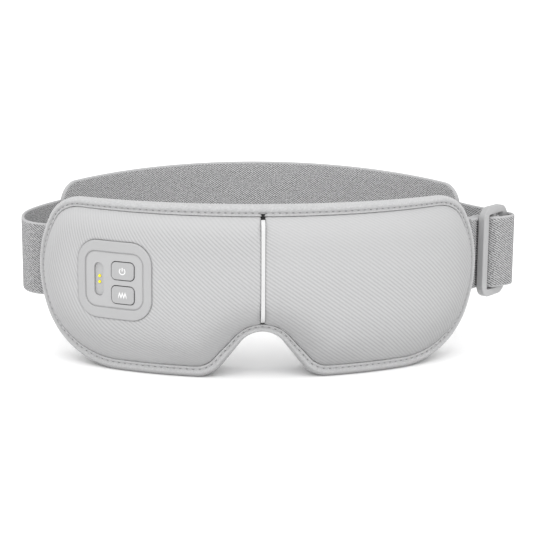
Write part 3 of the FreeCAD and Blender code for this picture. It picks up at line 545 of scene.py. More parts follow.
def ring_faces(count, ring, closed=False, flip=False):
    """Four-sided faces from each ring of points to the next, and from the last to the first if closed"""
    faces = []
    for k in range(count if closed else count - 1):
        near, far = k * ring, (k + 1) % count * ring
        for j in range(ring):
            beside = (j + 1) % ring
            a, b, c, d = near + j, near + beside, far + beside, far + j
            faces.append((a, d, c, b) if flip else (a, b, c, d))
    return faces


def spot(centre, radius, angle):
    return np.stack((centre[0] + radius * np.cos(angle), centre[1] + radius * np.sin(angle)), -1)


def rim_shape(mask, step):
    """Closed line of the rim as seen from the front, clockwise from the top, as points across and up"""
    side = np.array((mask.width / 2 - mask.side_radius, mask.side_height))
    top_z = mask.height - mask.top_corner
    top_x = side[0] + sqrt((mask.side_radius - mask.top_corner) ** 2 - (top_z - side[1]) ** 2)
    low_x = side[0] + sqrt((mask.side_radius - mask.low_corner) ** 2 - (side[1] - mask.low_corner) ** 2)
    lobe = np.array((mask.lobe_foot, mask.lobe_radius))
    nose = np.array((0, mask.nose_height - mask.nose_radius))
    top_turn = atan2(top_z - side[1], top_x - side[0])
    low_turn = atan2(mask.low_corner - side[1], low_x - side[0])
    between = lobe - nose
    flank = atan2(between[1], between[0]) + pi / 2
    flank -= asin((mask.lobe_radius + mask.nose_radius) / hypot(*between))
    arcs = [
        ((top_x, top_z), mask.top_corner, pi / 2, top_turn),
        (side, mask.side_radius, top_turn, low_turn),
        ((low_x, mask.low_corner), mask.low_corner, low_turn, -pi / 2),
        (lobe, mask.lobe_radius, -pi / 2, flank - pi),
        (nose, mask.nose_radius, flank, pi / 2),
    ]
    rows = [np.array([[0, mask.height]])]
    for centre, radius, start, end in arcs:
        count = max(3, round(abs(end - start) * radius / step))
        points = spot(centre, radius, np.linspace(start, end, count + 1))
        gap = hypot(*(points[0] - rows[-1][-1]))
        if gap > step / 10:
            rows.append(np.linspace(rows[-1][-1], points[0], max(1, round(gap / step)) + 1)[1:])
        rows.append(points[1:])
    half = np.concatenate(rows)
    return np.concatenate((half, half[-2:0:-1] * (-1, 1)))


def rim_line(mask, inset, step):
    """The rim laid flat along the bend and inset by a width. Point by point it matches any other inset."""
    line = rim_shape(mask, step)
    across, up = np.abs(line[:, 0]), line[:, 1].copy()
    line[:, 0] = mask.bend * np.arcsin(line[:, 0] / mask.rim_reach)
    ahead = np.roll(line, -1, 0) - line
    ahead /= np.linalg.norm(ahead, axis=1)[:, None]
    ahead = ahead + np.roll(ahead, 1, 0)
    ahead /= np.linalg.norm(ahead, axis=1)[:, None]
    wide = 1 + mask.low_widen * np.clip(1 - up / LOW_RIM, 0, 1)
    nose = (across < NOSE_REACH) & (up < NOSE_REACH)
    wide -= mask.nose_narrow * np.clip((up - NOSE_LOW) / NOSE_RISE, 0, 1) * nose
    line += np.column_stack((ahead[:, 1], -ahead[:, 0])) * (inset * wide)[:, None]
    crown = mask.top_crown * np.clip(1 - (across / mask.crown_reach) ** 2, 0, 1)
    line[:, 1] += np.where(up > mask.side_height, crown * max(0, 1 - inset / mask.crease), 0)
    return line


def on_bend(mask, flat, radius):
    """Points laid flat along the bend and up, set at a radius from its axis"""
    angle = flat[:, 0] / mask.bend
    return np.column_stack((radius * np.sin(angle), mask.bend - radius * np.cos(angle), flat[:, 1]))


def dome(mask, up):
    """Radius of the front from the axis of the bend, by height"""
    half = mask.height / 2
    crown = (half**2 + mask.crown_drop**2) / (2 * mask.crown_drop)
    return mask.bend + mask.dome_rise - crown + np.sqrt(crown**2 - (up - half) ** 2)


def round_frame(width, rise, corner, step):
    """Closed line of a rounded rectangle about its middle"""
    corners = np.array((width / 2, rise / 2)) - corner
    line = []
    for k, way in enumerate(((1, 1), (-1, 1), (-1, -1), (1, -1))):
        line.append(spot(corners * way, corner, np.linspace(k * pi / 2, (k + 1) * pi / 2, CORNER_POINTS)))
    line = np.concatenate(line)
    runs = []
    for a, b in zip(line, np.roll(line, -1, 0)):
        count = max(1, round(hypot(*(b - a)) / step))
        runs.append(a + (b - a) * np.arange(count)[:, None] / count)
    return np.concatenate(runs)


def on_pod(mask, line, proud=0.0):
    """A line about the pod's middle, laid flat along the bend, and its radius at a height above the front"""
    up = line[:, 1] + mask.pod_height
    radius = dome(mask, up) + proud
    angle = np.arcsin(line[:, 0] / radius) - asin(mask.pod_offset / (mask.bend + mask.dome_rise))
    return np.column_stack((mask.bend * angle, up)), radius


def nearest(points, line):
    """Distance from each point to the nearest point of a line"""
    return np.concatenate([
        np.sqrt(((chunk[:, None] - line[None]) ** 2).sum(2)).min(1)
        for chunk in np.array_split(points, max(1, len(points) // CHUNK))
    ])


def within(points, line):
    """True for each point inside a closed line"""
    ends = np.roll(line, -1, 0)
    inside = np.zeros(len(points), bool)
    for (x0, z0), (x1, z1) in zip(line, ends):
        if z0 == z1:
            continue
        crossed = (z0 > points[:, 1]) != (z1 > points[:, 1])
        inside ^= crossed & (points[:, 0] < (x1 - x0) * (points[:, 1] - z0) / (z1 - z0) + x0)
    return inside


def grid(line, step):
    """Points of an even triangular net over a closed line's box"""
    low, high = line.min(0), line.max(0)
    rows = np.arange(low[1], high[1], step * sqrt(3) / 2)
    points = []
    for k, up in enumerate(rows):
        across = np.arange(low[0] + step / 2 * (k % 2), high[0], step)
        points.append(np.column_stack((across, np.full(len(across), up))))
    return np.concatenate(points)


def fill(lines, loose, keep):
    """Triangles over closed lines and loose points; keep says which middles stay"""
    points = [p for line in lines for p in line] + list(loose)
    edges = []
    first = 0
    for line in lines:
        edges += [(first + k, first + (k + 1) % len(line)) for k in range(len(line))]
        first += len(line)
    flat = [Vector((x * PER_METRE, z * PER_METRE)) for x, z in points]
    made, _, faces, _, _, _ = delaunay_2d_cdt(flat, edges, [], 0, WELD)
    flat = np.array([tuple(p) for p in made]) / PER_METRE
    faces = np.array([f for f in faces if len(f) == 3])
    middles = flat[faces].mean(1)
    faces = faces[keep(middles)]
    used = np.unique(faces)
    new = np.full(len(flat), -1)
    new[used] = np.arange(len(used))
    return flat[used], new[faces]


def closed_shell(outer, inner, faces):
    """Points and faces of a closed body from two matching skins, joined along their edges"""
    count = len(outer)
    halves = {edge: True for a, b, c in faces for edge in ((a, b), (b, c), (c, a))}
    rim = [(b, a, a + count, b + count) for a, b in halves if (b, a) not in halves]
    skins = [tuple(f) for f in faces] + [tuple(f[::-1] + count) for f in faces]
    return np.concatenate((outer, inner)), skins + rim


def facing(faces, points, away):
    """Turns the triangles so that their normals point away from a place"""
    a, b, c = (points[faces[:, k]] for k in range(3))
    normal = np.cross(b - a, c - a)
    flip = (normal * (a - away)).sum(1) < 0
    faces[flip] = faces[flip][:, ::-1]
    return faces


def thread_rows(paths, thread, long):
    """Stitches as short bowed threads. Each path gives a middle, a direction and the way out of the cloth."""
    points = []
    faces = []
    rings, sides = 7, 6
    for middle, along, out in paths:
        beside = np.cross(along, out)
        first = len(points)
        for k in range(rings):
            share = k / (rings - 1) * 2 - 1
            bow = thread * (STITCH_RISE - STITCH_DIVE * share**4)
            heart = middle + along * (share * long / 2) + out * bow
            thin = thread * sqrt(max(STITCH_TIP, 1 - share**6))
            for j in range(sides):
                angle = tau * j / sides
                points.append(heart + (beside * cos(angle) + out * sin(angle)) * thin)
        faces += [tuple(first + corner for corner in face) for face in ring_faces(rings, sides)]
        faces.append(tuple(first + j for j in reversed(range(sides))))
        faces.append(tuple(first + (rings - 1) * sides + j for j in range(sides)))
    return points, faces


def even_places(line, pitch):
    """Even places along a closed line of points, each with its direction"""
    ends = np.concatenate((line, line[:1]))
    along = distances(ends)
    count = max(1, round(along[-1] / pitch))
    marks = (np.arange(count) + 0.5) * along[-1] / count

    def places(shift):
        return np.stack([np.interp(marks + shift, along, ends[:, k]) for k in range(3)], 1)

    heading = places(pitch / 8) - places(-pitch / 8)
    return places(0), heading / np.linalg.norm(heading, axis=1)[:, None]


# Straps
class Route:
    """A strap's line in plan, made of straight runs and turns that meet smoothly"""

    def __init__(self, start, heading):
        self.points = [np.array(start, float)]
        self.headings = [heading]

    def run(self, reach, step=0.0015):
        heading = self.headings[-1]
        ahead = np.array((cos(heading), sin(heading)))
        count = max(1, round(reach / step))
        start = self.points[-1]
        for k in range(1, count + 1):
            self.points.append(start + ahead * (reach * k / count))
            self.headings.append(heading)

    def turn(self, radius, angle, step=0.0011):
        """A turn to the left, or to the right for an angle below nought"""
        heading = self.headings[-1]
        way = 1 if angle > 0 else -1
        middle = self.points[-1] + np.array((-sin(heading), cos(heading))) * (way * radius)
        count = max(2, round(abs(angle) * radius / step), round(abs(angle) / COARSEST_TURN))
        for k in range(1, count + 1):
            now = heading + angle * k / count
            self.points.append(middle + np.array((sin(now), -cos(now))) * (way * radius))
            self.headings.append(now)

    def arc_to(self, place):
        chord = place - self.points[-1]
        angle = (2 * (atan2(chord[1], chord[0]) - self.headings[-1]) + pi) % tau - pi
        if abs(angle) < STRAIGHT:
            self.run(hypot(*chord))
        else:
            self.turn(hypot(*chord) / (2 * abs(sin(angle / 2))), angle)

    def ease_to(self, place, heading):
        """Two turns of like reach, which end at the place with the heading"""
        leave = np.array((cos(self.headings[-1]), sin(self.headings[-1])))
        arrive = np.array((cos(heading), sin(heading)))
        across = place - self.points[-1]
        along = across @ (leave + arrive)
        spread = 2 * (1 - leave @ arrive)
        reach = across @ across / (along + sqrt(along**2 + spread * (across @ across)))
        self.arc_to((self.points[-1] + place + (leave - arrive) * reach) / 2)
        self.arc_to(place)


def ribbon(route, middle, half, wall, ends=False):
    """Closed ribbon along a route, from the height of its middle and half its own height at each point"""
    points = np.array(route.points)
    headings = np.array(route.headings)
    left = np.column_stack((-np.sin(headings), np.cos(headings)))
    along = distances(points)
    middle = np.broadcast_to(middle, along.shape)
    half = np.broadcast_to(half, along.shape)
    rows, rounds = 13, 5
    shares = np.linspace(-1, 1, rows)
    arc = np.linspace(0, pi, rounds + 2)[1:-1]
    out = np.concatenate((np.ones(rows), np.cos(arc), -np.ones(rows), -np.cos(arc))) * wall / 2
    reach = np.concatenate((shares, np.ones(rounds), shares[::-1], -np.ones(rounds)))
    lift = np.concatenate((np.zeros(rows), np.sin(arc), np.zeros(rows), -np.sin(arc))) * wall / 2
    up = reach[None] * (half[:, None] - wall / 2) + lift[None]
    plan = points[:, None] + left[:, None] * out[None, :, None]
    body = np.concatenate((plan, (middle[:, None] + up)[:, :, None]), 2)
    count, ring = up.shape
    faces = ring_faces(count, ring, flip=True)
    faces.append(tuple(range(ring)))
    faces.append(tuple((count - 1) * ring + j for j in reversed(range(ring))))
    run = np.broadcast_to(along[:, None], up.shape)
    edge = half[:, None] - np.abs(up)
    if ends:
        edge = np.minimum(edge, np.minimum(run, along[-1] - run))
    web = np.stack((run, up, edge), 2)
    return body.reshape(-1, 3), faces, {"web": web.reshape(-1, 3) * PER_METRE}, along[-1]


def cross_stitches(route, place, middle, half, pitch, wall):
    """Stitch paths up the outer face of a strap, at a place along its route"""
    points, headings = np.array(route.points), np.array(route.headings)
    along = distances(points)
    heading = np.interp(place, along, headings)
    out = np.array((sin(heading), -cos(heading), 0))
    x, y = (np.interp(place, along, points[:, k]) for k in range(2))
    count = round(2 * half / pitch)
    ups = (np.arange(count) + 0.5) / count * 2 * half - half
    upward = np.array((0, 0, 1))
    return [(np.array((x, y, middle + up)) + out * wall / 2, upward, out) for up in ups]


def band_centre(strap):
    return np.array((0, strap.band_back - strap.band_radius))


def lap_radius(strap):
    return strap.band_radius + strap.band_wall / 2 + strap.wall / 2 + RUN_GAP


def left_route(strap):
    lap = lap_radius(strap)
    start = pi / 2 + strap.band_left - strap.lap / lap
    route = Route(spot(band_centre(strap), lap, np.array(start)), start + pi / 2)
    route.turn(lap, strap.lap / lap)
    route.ease_to(np.array((strap.root_x, strap.root_y)), strap.root_turn)
    route.turn(strap.tuck_radius, strap.tuck_turn)
    route.run(strap.tuck)
    return route


def slider_place(strap, along, out):
    yaw = strap.slider_yaw
    x = strap.slider_x + along * cos(yaw) + out * sin(yaw)
    return np.array((x, strap.slider_y + along * sin(yaw) - out * cos(yaw)))


def slope_run(rise, radii, slope):
    return (rise - radii * (1 - cos(slope))) / sin(slope)


def right_routes(strap):
    """Routes of the right strap, folded through the slider, and of the mask's tab, sewn round its bar"""
    loop = strap.slider_bar + FIT_GAP + strap.wall / 2
    front = loop + strap.wall + SOFT_GAP
    tail = strap.slider_wall / 2 + SOFT_GAP + strap.wall / 2
    tab = tail + strap.wall + SOFT_GAP
    slope = strap.slot_slope
    radii = loop + front
    rise_run = slope_run(front + tail, radii, slope)
    reach = radii * sin(slope) + rise_run * cos(slope)
    lap = lap_radius(strap)
    route = Route(slider_place(strap, -reach - strap.tail, -tail), strap.slider_yaw)
    route.run(strap.tail)
    route.turn(loop, -slope)
    route.run(rise_run)
    route.turn(front, slope - strap.fold_flare)
    route.run(strap.fold_reach)
    route.turn(strap.fold_radius, strap.leave - strap.slider_yaw + strap.fold_flare)
    stop = spot(band_centre(strap), lap, np.array(pi / 2 - strap.band_right))
    route.ease_to(stop, pi - strap.band_right)
    route.turn(lap, strap.lap / lap)
    tab_run = slope_run(loop + tab, radii, slope)
    tab_reach = radii * sin(slope) + tab_run * cos(slope)
    sewn = Route(slider_place(strap, -tab_reach - strap.tab, -tab), strap.slider_yaw)
    sewn.run(strap.tab)
    sewn.turn(front, -slope)
    sewn.run(tab_run)
    sewn.turn(loop, slope)
    sewn.turn(loop, pi)
    end_layer = tab + strap.wall + FIT_GAP
    drop = slope_run(end_layer - loop, loop + strap.wall, strap.tab_slope)
    sewn.turn(strap.wall, -strap.tab_slope)
    sewn.run(drop)
    sewn.turn(loop, strap.tab_slope)
    sewn.run(strap.tab_end)
    return route, sewn


# Slope of the ribs in degrees by place along the bend, and how they crowd by height, in millimetres
RIB_SAMPLES, RIB_LEVEL = 400, 50
LAY = {
    -1: ((-125, -88, -74, -62, -47, -35, -23, -11, 0), (80, 68, 62, 53, 45.5, 44, 43, 41, 40)),
    1: ((0, 27, 56, 76, 88, 125), (36, 37, 38.5, 42.5, 47, 58)),
}
CROWD = {
    -1: ((0, 12, 17, 22, 26, 33, 40, 81), (1.9, 1.74, 1.5, 1.36, 1.25, 1.06, 1.0, 1.0)),
    1: ((0, 7, 9, 15, 50, 58, 65, 72, 81), (1.4, 1.27, 1.12, 1.0, 1.0, 1.03, 1.18, 1.47, 1.7)),
}


# Operators
class MASSAGER_OT_front_cloth(bpy.types.Operator):
    """Ribbed cloth over the left and right front covers, tucked round the control pod and the centre strip"""

    bl_idname = "massager.front_cloth"
    bl_label = "Front cloth"

    def execute(self, context):
        mask, look = context.scene.massager.mask, context.scene.massager.look
        finish = ribbed_cloth(look)
        for side in (1, -1):
            self.half(mask, look, side, finish)
        return {"FINISHED"}

    def ribs(self, look, side, flat):
        """Phase of the diagonal ribs, which fan out towards the ends and crowd towards an edge"""
        places, slopes = LAY[side]
        across = np.linspace(places[0], places[-1], RIB_SAMPLES)
        slope = np.radians(np.interp(across, places, slopes))
        run = np.concatenate(([0], np.cumsum(np.diff(across) * np.sin((slope[1:] + slope[:-1]) / 2))))
        heights, crowds = CROWD[side]
        up = np.linspace(heights[0], heights[-1], RIB_SAMPLES)
        crowd = np.interp(up, heights, crowds)
        rise = np.concatenate(([0], np.cumsum(np.diff(up) * (crowd[1:] + crowd[:-1]) / 2)))
        rise -= np.interp(RIB_LEVEL, up, rise)
        x, z = flat[:, 0] * PER_METRE, flat[:, 1] * PER_METRE
        lean = np.cos(np.interp(x, across, slope))
        return (np.interp(z, up, rise) * lean + np.interp(x, across, run)) / (look.rib_pitch * PER_METRE)

    def half(self, mask, look, side, finish):
        insets = mask.crease + np.array(CREASE_ROWS) * MM
        gap = mask.strip_gap * mask.bend / (mask.bend + mask.dome_rise)
        edge_line = rim_line(mask, mask.crease, CLOTH_STEP)
        loose = [rim_line(mask, inset, CLOTH_STEP) for inset in insets]
        net = grid(edge_line, CLOTH_NET)
        loose.append(net[within(net, rim_line(mask, insets[-1] + NET_MARGIN, WIDE_STEP))])
        seams = gap + np.array(STRIP_ROWS) * MM
        loose = np.concatenate(loose)
        loose = loose[loose[:, 0] * side > seams[-1] + STRIP_MARGIN]
        pod = None
        if side < 0:
            pod, _ = on_pod(mask, round_frame(mask.pod_width, mask.pod_rise, mask.pod_corner, CLOTH_STEP))
        rows = [loose]
        up = np.arange(mask.nose_height + mask.crease, mask.height - mask.crease, STRIP_STEP)
        for seam in seams:
            rows.append(np.column_stack((np.full(len(up), seam * side), up)))
        if pod is not None:
            rows[0] = loose[nearest(loose, pod) > POD_MARGIN]
            away = pod - pod.mean(0)
            away /= np.linalg.norm(away, axis=1)[:, None]
            rows += [pod + away * grow * MM for grow in POD_ROWS]

        def keep(middles):
            kept = within(middles, edge_line) & (middles[:, 0] * side > gap)
            return kept if pod is None else kept & ~within(middles, pod)

        flat, faces = fill([edge_line] if pod is None else [edge_line, pod], np.concatenate(rows), keep)
        deep = nearest(flat, rim_line(mask, mask.crease, FINE_STEP))
        deep[deep < CREASE_WELD] = 0
        share = np.clip(1 - deep / mask.shoulder, 0, 1)
        low = mask.bend + mask.crease_rise
        radius = low + (dome(mask, flat[:, 1]) - low) * (1 - share**2) ** SHOULDER_POWER
        seam = np.clip(1 - (flat[:, 0] * side - gap) / STRIP_DIP_WIDTH, 0, 1)
        radius -= STRIP_DIP * seam**STRIP_DIP_POWER
        if pod is not None:
            tuck = np.clip(1 - nearest(flat, pod) / POD_DIP_WIDTH, 0, 1)
            radius -= POD_DIP * tuck**2
        points = on_bend(mask, flat, radius)
        faces = facing(faces, points, np.array((0, mask.bend, mask.height / 2)))
        body, skins = closed_shell(points, on_bend(mask, flat, radius - CLOTH_WALL), faces)
        rib = np.column_stack((self.ribs(look, side, flat), deep * PER_METRE, flat[:, 1] * PER_METRE))
        end = "right" if side > 0 else "left"
        fields = {"rib": np.concatenate((rib, rib))}
        piece = new_piece("front_cloth_" + end, body, skins, finish, fields, CLOTH_SHARP)
        set_piece(piece, "mask", "cover_cloth", "cover_" + end)


class MASSAGER_OT_rim_binding(bpy.types.Operator):
    """Folded felt binding round the rim, with its thin inner bead and its stitching on both faces"""

    bl_idname = "massager.rim_binding"
    bl_label = "Rim binding"

    def execute(self, context):
        mask, look = context.scene.massager.mask, context.scene.massager.look
        back = [(inset, -RIM_BACK_SHARE * out) for inset, out in RIM_SECTION[-2::-1]]
        section = np.array([*RIM_SECTION, *back]) * MM
        rings = []
        fields = []
        full = rim_line(mask, 0, RIM_STEP)
        along = distances(full) * PER_METRE
        for inset, out in section:
            rings.append(on_bend(mask, rim_line(mask, inset, RIM_STEP), mask.bend + out))
            rows = np.full(len(full), inset * PER_METRE), np.full(len(full), out * PER_METRE)
            fields.append(np.column_stack((along, *rows)))
        faces = ring_faces(len(section), len(full), closed=True)
        fields = {"rim": np.concatenate(fields)}
        piece = new_piece("rim_binding", np.concatenate(rings), faces, rim_felt(look), fields)
        set_piece(piece, "mask", "binding_cloth", "edge_binding")
        paths = []
        flat = rim_line(mask, mask.stitch_inset, RIM_STITCH_STEP)
        for out, way in RIM_STITCHES:
            line = on_bend(mask, flat, mask.bend + out * MM)
            middles, heading = even_places(line, mask.stitch_pitch)
            away = (middles - np.array((0, mask.bend, 0))) * (1, 1, 0)
            away *= way / np.linalg.norm(away, axis=1)[:, None]
            paths += list(zip(middles, heading, away))
        points, faces = thread_rows(paths, mask.stitch_thread, mask.stitch_length)
        finish = sewing_thread("rim_thread", look.thread)
        set_piece(new_piece("rim_stitching", points, faces, finish), "mask", "binding_cloth")
        return {"FINISHED"}


class MASSAGER_OT_face_lining(bpy.types.Operator):
    """Padded lining of the face side, with its eye hollows and seams"""

    bl_idname = "massager.face_lining"
    bl_label = "Face lining"

    def execute(self, context):
        mask, look = context.scene.massager.mask, context.scene.massager.look
        insets = np.array(LINING_ROWS) * MM
        lines = [rim_line(mask, inset, LINING_STEP) for inset in insets]
        net = grid(lines[0], LINING_NET)
        net = net[within(net, rim_line(mask, insets[-1] + LINING_MARGIN, WIDE_STEP))]
        loose = np.concatenate(lines[1:] + [net])
        flat, faces = fill(lines[:1], loose, lambda middles: within(middles, lines[0]))
        deep = nearest(flat, rim_line(mask, 0, FINE_STEP))
        deep[deep < LINING_WELD] = 0
        for inset, line in zip(insets, lines):
            deep[nearest(flat, line) < ROW_WELD] = inset
        half = mask.height / 2
        squeeze = (mask.height - mask.lining_drop - half) / (mask.height - half)
        up = np.where(flat[:, 1] > half, half + (flat[:, 1] - half) * squeeze, flat[:, 1])
        front = mask.bend - LINING_FRONT
        depth = front - (mask.bend - mask.face_depth)
        share = np.clip(1 - deep / LINING_ROUND, 0, 1)
        swell = (1 - share**LINING_POWER) ** (1 / LINING_POWER)
        radius = front - LINING_LIP - (depth - LINING_LIP) * swell
        angle = flat[:, 0] / mask.bend
        back = mask.bend - mask.face_depth
        apart = back + mask.eye_depth - mask.eye_ball
        seam = np.zeros(len(flat))
        for side in (-1, 1):
            turned = angle - side * asin(mask.eye_spacing / 2 / back)
            room = mask.eye_ball**2 - (up - mask.eye_height) ** 2 - (apart * np.sin(turned)) ** 2
            ball = apart * np.cos(turned) + np.sqrt(np.maximum(room, 0))
            ball = np.where(room > 0, ball, 0)
            rise = np.maximum(HOLLOW_SOFT - np.abs(ball - radius), 0) / HOLLOW_SOFT
            seam = np.maximum(seam, np.exp(-(((ball - radius) / HOLLOW_SEAM) ** 2)))
            radius = np.maximum(ball, radius) + rise**2 * HOLLOW_SOFT / 4
        seam = np.maximum(seam, np.exp(-((flat[:, 0] / NOSE_SEAM) ** 2)) * (deep > NOSE_SEAM_INSET))
        radius = radius + SEAM_RISE * seam
        laid = np.column_stack((flat[:, 0], up))
        points = on_bend(mask, laid, radius)
        inner = on_bend(mask, laid, front - LINING_WALL * np.clip(deep / LINING_WALL_REACH, 0, 1))
        faces = facing(faces, points, np.array((0, mask.bend, half)))[:, ::-1]
        body, skins = closed_shell(points, inner, faces)
        knit = np.column_stack((mask.bend * angle * PER_METRE, up * PER_METRE, seam))
        fields = {"knit": np.concatenate((knit, knit))}
        piece = new_piece("face_padding", body, skins, face_knit(look), fields, PADDING_SHARP)
        set_piece(piece, "mask", "lining_cloth", "face_lining", "foam_pad_left", "foam_pad_right")
        return {"FINISHED"}


class MASSAGER_OT_head_strap(bpy.types.Operator):
    """Back band, left and right straps and the mask's tab, with their sewing"""

    bl_idname = "massager.head_strap"
    bl_label = "Head strap"

    def execute(self, context):
        strap, look = context.scene.massager.strap, context.scene.massager.look
        half = strap.height / 2
        finish = webbing(look, "strap_webbing", look.strap, look.strap_dark, 0.88, 0.45)
        left = left_route(strap)
        right, tab = right_routes(strap)
        rows = (
            ("left_webbing", left, strap.left_fall, "strap_left", ["edge_binding", "back_band"]),
            ("right_webbing", right, 0, "strap_right", ["strap_slider", "back_band"]),
            ("tab_webbing", tab, 0, "strap_tab", ["edge_binding", "strap_slider"]),
        )
        for name, route, fall, node, rests in rows:
            middle = strap.middle - fall * np.linspace(0, 1, len(route.points)) ** FALL_POWER
            points, faces, fields, reach = ribbon(route, middle, half, strap.wall)
            piece = new_piece(name, points, faces, finish, fields, CLOTH_SHARP)
            set_piece(piece, "mask", "strap_cloth", node)
        self.band(strap, look)
        whole = distances(np.array(right.points))[-1]
        rows = [(left, place * strap.lap) for place in LAP_SEAMS]
        rows += [(right, whole - place * strap.lap) for place in LAP_SEAMS]
        finish = sewing_thread("strap_thread", look.thread)
        self.seams(strap, "strap_stitching", rows, strap.seam_pitch, strap.seam_thread, finish)
        finish = sewing_thread("tail_thread", look.seam)
        rows = [(right, HEM_SHARE * strap.tail)]
        self.seams(strap, "tail_stitching", rows, strap.hem_pitch, strap.hem_thread, finish)
        return {"FINISHED"}

    def seams(self, strap, name, rows, pitch, thread, finish):
        """Rows of stitches across straps, each at a place along its route"""
        half = strap.height / 2 - strap.seam_margin
        paths = []
        for route, place in rows:
            paths += cross_stitches(route, place, strap.middle, half, pitch, strap.wall)
        points, faces = thread_rows(paths, thread, pitch * STITCH_SHARE)
        set_piece(new_piece(name, points, faces, finish), "mask", "strap_cloth")

    def band(self, strap, look):
        """The back band, lower towards its ends and with rounded corners"""
        ends = [strap.band_right, strap.band_left]
        centre = band_centre(strap)
        route = Route(spot(centre, strap.band_radius, np.array(pi / 2 - ends[0])), pi - ends[0])
        route.turn(strap.band_radius, ends[0] + ends[1], BAND_STEP)
        across = np.array(route.points)[:, 0]
        span = (across - (across[0] + across[-1]) / 2) / (abs(across[0] - across[-1]) / 2)
        half = strap.band_height / 2 - (strap.band_height - strap.band_edge) / 2 * span**2
        along = np.linspace(0, strap.band_radius * sum(ends), len(across))
        near = np.minimum(along, along[-1] - along)
        inset = np.clip(strap.band_corner - near, 0, strap.band_corner)
        half = half - (strap.band_corner - np.sqrt(strap.band_corner**2 - inset**2))
        points, faces, fields, reach = ribbon(route, strap.middle, half, strap.band_wall, True)
        finish = webbing(look, "band_webbing", look.band, look.band_dark, 0.5, 0.3)
        piece = new_piece("band_webbing", points, faces, finish, fields, CLOTH_SHARP)
        set_piece(piece, "mask", "band_cloth", "back_band")
        area = float(np.sum((half[1:] + half[:-1]) * np.diff(along)))


class MASSAGER_OT_control_pod(bpy.types.Operator):
    """Finishes of the control pod, the centre strip and the strap slider"""

    bl_idname = "massager.control_pod"
    bl_label = "Control pod"

    def execute(self, context):
        look = context.scene.massager.look
        satin = {"Coat Weight": 0.05, "Coat Roughness": 0.4, "Specular IOR Level": 0.4}
        gloss = {"Coat Weight": 0.3, "Coat Roughness": 0.2}
        rows = (
            (moulded("bezel_satin", look.bezel, 0.48, 0.000012, satin), ["control_bezel"]),
            (moulded("panel_satin", look.panel, 0.5, 0.000012, satin), ["control_panel", "charge_port"]),
            (moulded("button_satin", look.button, 0.42, 0.000008, satin), ["power_button", "mode_button"]),
            (moulded("sign_white", (0.68, 0.68, 0.68), 0.4, 0.000004), ["power_symbol", "mode_symbol"]),
            (moulded("contact_gold", (0.95, 0.80, 0.02), 0.25, 0.000003, None, 0.6), ["charge_contacts"]),
            (moulded("strip_gloss", (0.52, 0.52, 0.52), 0.2, 0.000003, gloss), ["centre_strip"]),
            (moulded("slider_gloss", look.slider, 0.36, 0.000006, gloss), ["strap_slider"]),
        )
        dress_nodes(rows)
        return {"FINISHED"}


class MASSAGER_OT_small_trim(bpy.types.Operator):
    """Painted shade: black rings in the buttons' gaps, a grey ring in the groove round the pod's plate and a
    black waisted piece at the centre strip's end
    """

    bl_idname = "massager.small_trim"
    bl_label = "Small trim"

    def execute(self, context):
        mask, look = context.scene.massager.mask, context.scene.massager.look
        # Painted shade: a black finish for pieces put where there is only shade, first rings low in the
        # buttons' gaps that paint the gap lines dark
        finish = moulded("painted_shade_black", (0.012, 0.012, 0.012), 0.8, 0.00002, {"Specular IOR Level": 0.2})
        button = (mask.button_width, mask.button_rise, mask.button_corner)
        reach = [share * mask.button_gap for share in GAP_SHADE_SHARES]
        for name, way in (("power_gap_shade", 1), ("mode_gap_shade", -1)):
            middle = (mask.button_offset, way * mask.button_spacing / 2 - mask.button_drop)
            self.shade_ring(mask, name, button, middle, reach, finish)
        # Painted shade: a grey ring fills the groove round the pod's plate, lighter than the groove's own
        # shadow
        plate = (mask.panel_width, mask.panel_rise, mask.panel_corner)
        groove_shade = moulded("groove_shade_grey", tint(look.panel, 0.72), 0.6)
        self.shade_ring(mask, "panel_groove_shade", plate, (0, 0), (-mask.groove_shade_reach, 0), groove_shade)
        # Painted shade at the centre strip's top end
        self.clip(mask, finish)
        return {"FINISHED"}

    def shade_ring(self, mask, name, frame_size, middle, reach, finish):
        """A flat ring round a rounded frame, from an inner to an outer reach beyond it"""
        width, rise, corner = frame_size
        rings = []
        for grow, deep in ((reach[0], 0), (reach[1], 0), (reach[1], 1), (reach[0], 1)):
            line = round_frame(width + 2 * grow, rise + 2 * grow, corner + grow, WIDE_STEP)
            flat, radius = on_pod(mask, line + middle, -mask.shade_ring_sunk - deep * mask.shade_ring_wall)
            rings.append(on_bend(mask, flat, radius))
        faces = ring_faces(len(rings), len(rings[0]), closed=True, flip=True)
        piece = new_piece(name, np.concatenate(rings), faces, finish, None, TRIM_SHARP)
        set_piece(piece, "mask", "panel_plastic")

    def clip(self, mask, finish):
        """Painted shade: a black waisted piece over the rim's bead and down to the strip, where the strip's
        end shows a dark gap
        """
        shares = np.linspace(0, 1, END_SHADE_ROWS)
        waist = mask.end_shade_waist + (mask.end_shade_width - mask.end_shade_waist) * np.abs(shares * 2 - 1) ** END_SHADE_POWER
        inset = mask.end_shade_top + shares * mask.end_shade_long
        columns = np.linspace(-1, 1, END_SHADE_COLUMNS)
        wide = len(columns)
        across = (waist[:, None] * columns).ravel()
        flat = np.column_stack((across, np.repeat(mask.height - inset, wide)))
        radius = mask.bend + np.repeat(np.interp(inset, END_SHADE_INSETS, END_SHADE_HEIGHTS), wide)
        faces = []
        for k in range(len(shares) - 1):
            for j in range(wide - 1):
                a = k * wide + j
                faces += [(a, a + 1, a + wide + 1), (a, a + wide + 1, a + wide)]
        points = on_bend(mask, flat, radius + mask.end_shade_wall / 2)
        faces = facing(np.array(faces), points, np.array((0, mask.bend, mask.height / 2)))
        body, skins = closed_shell(points, on_bend(mask, flat, radius - mask.end_shade_wall), faces)
        set_piece(new_piece("strip_end_shade", body, skins, finish, None, TRIM_SHARP), "mask", "strip_plastic")


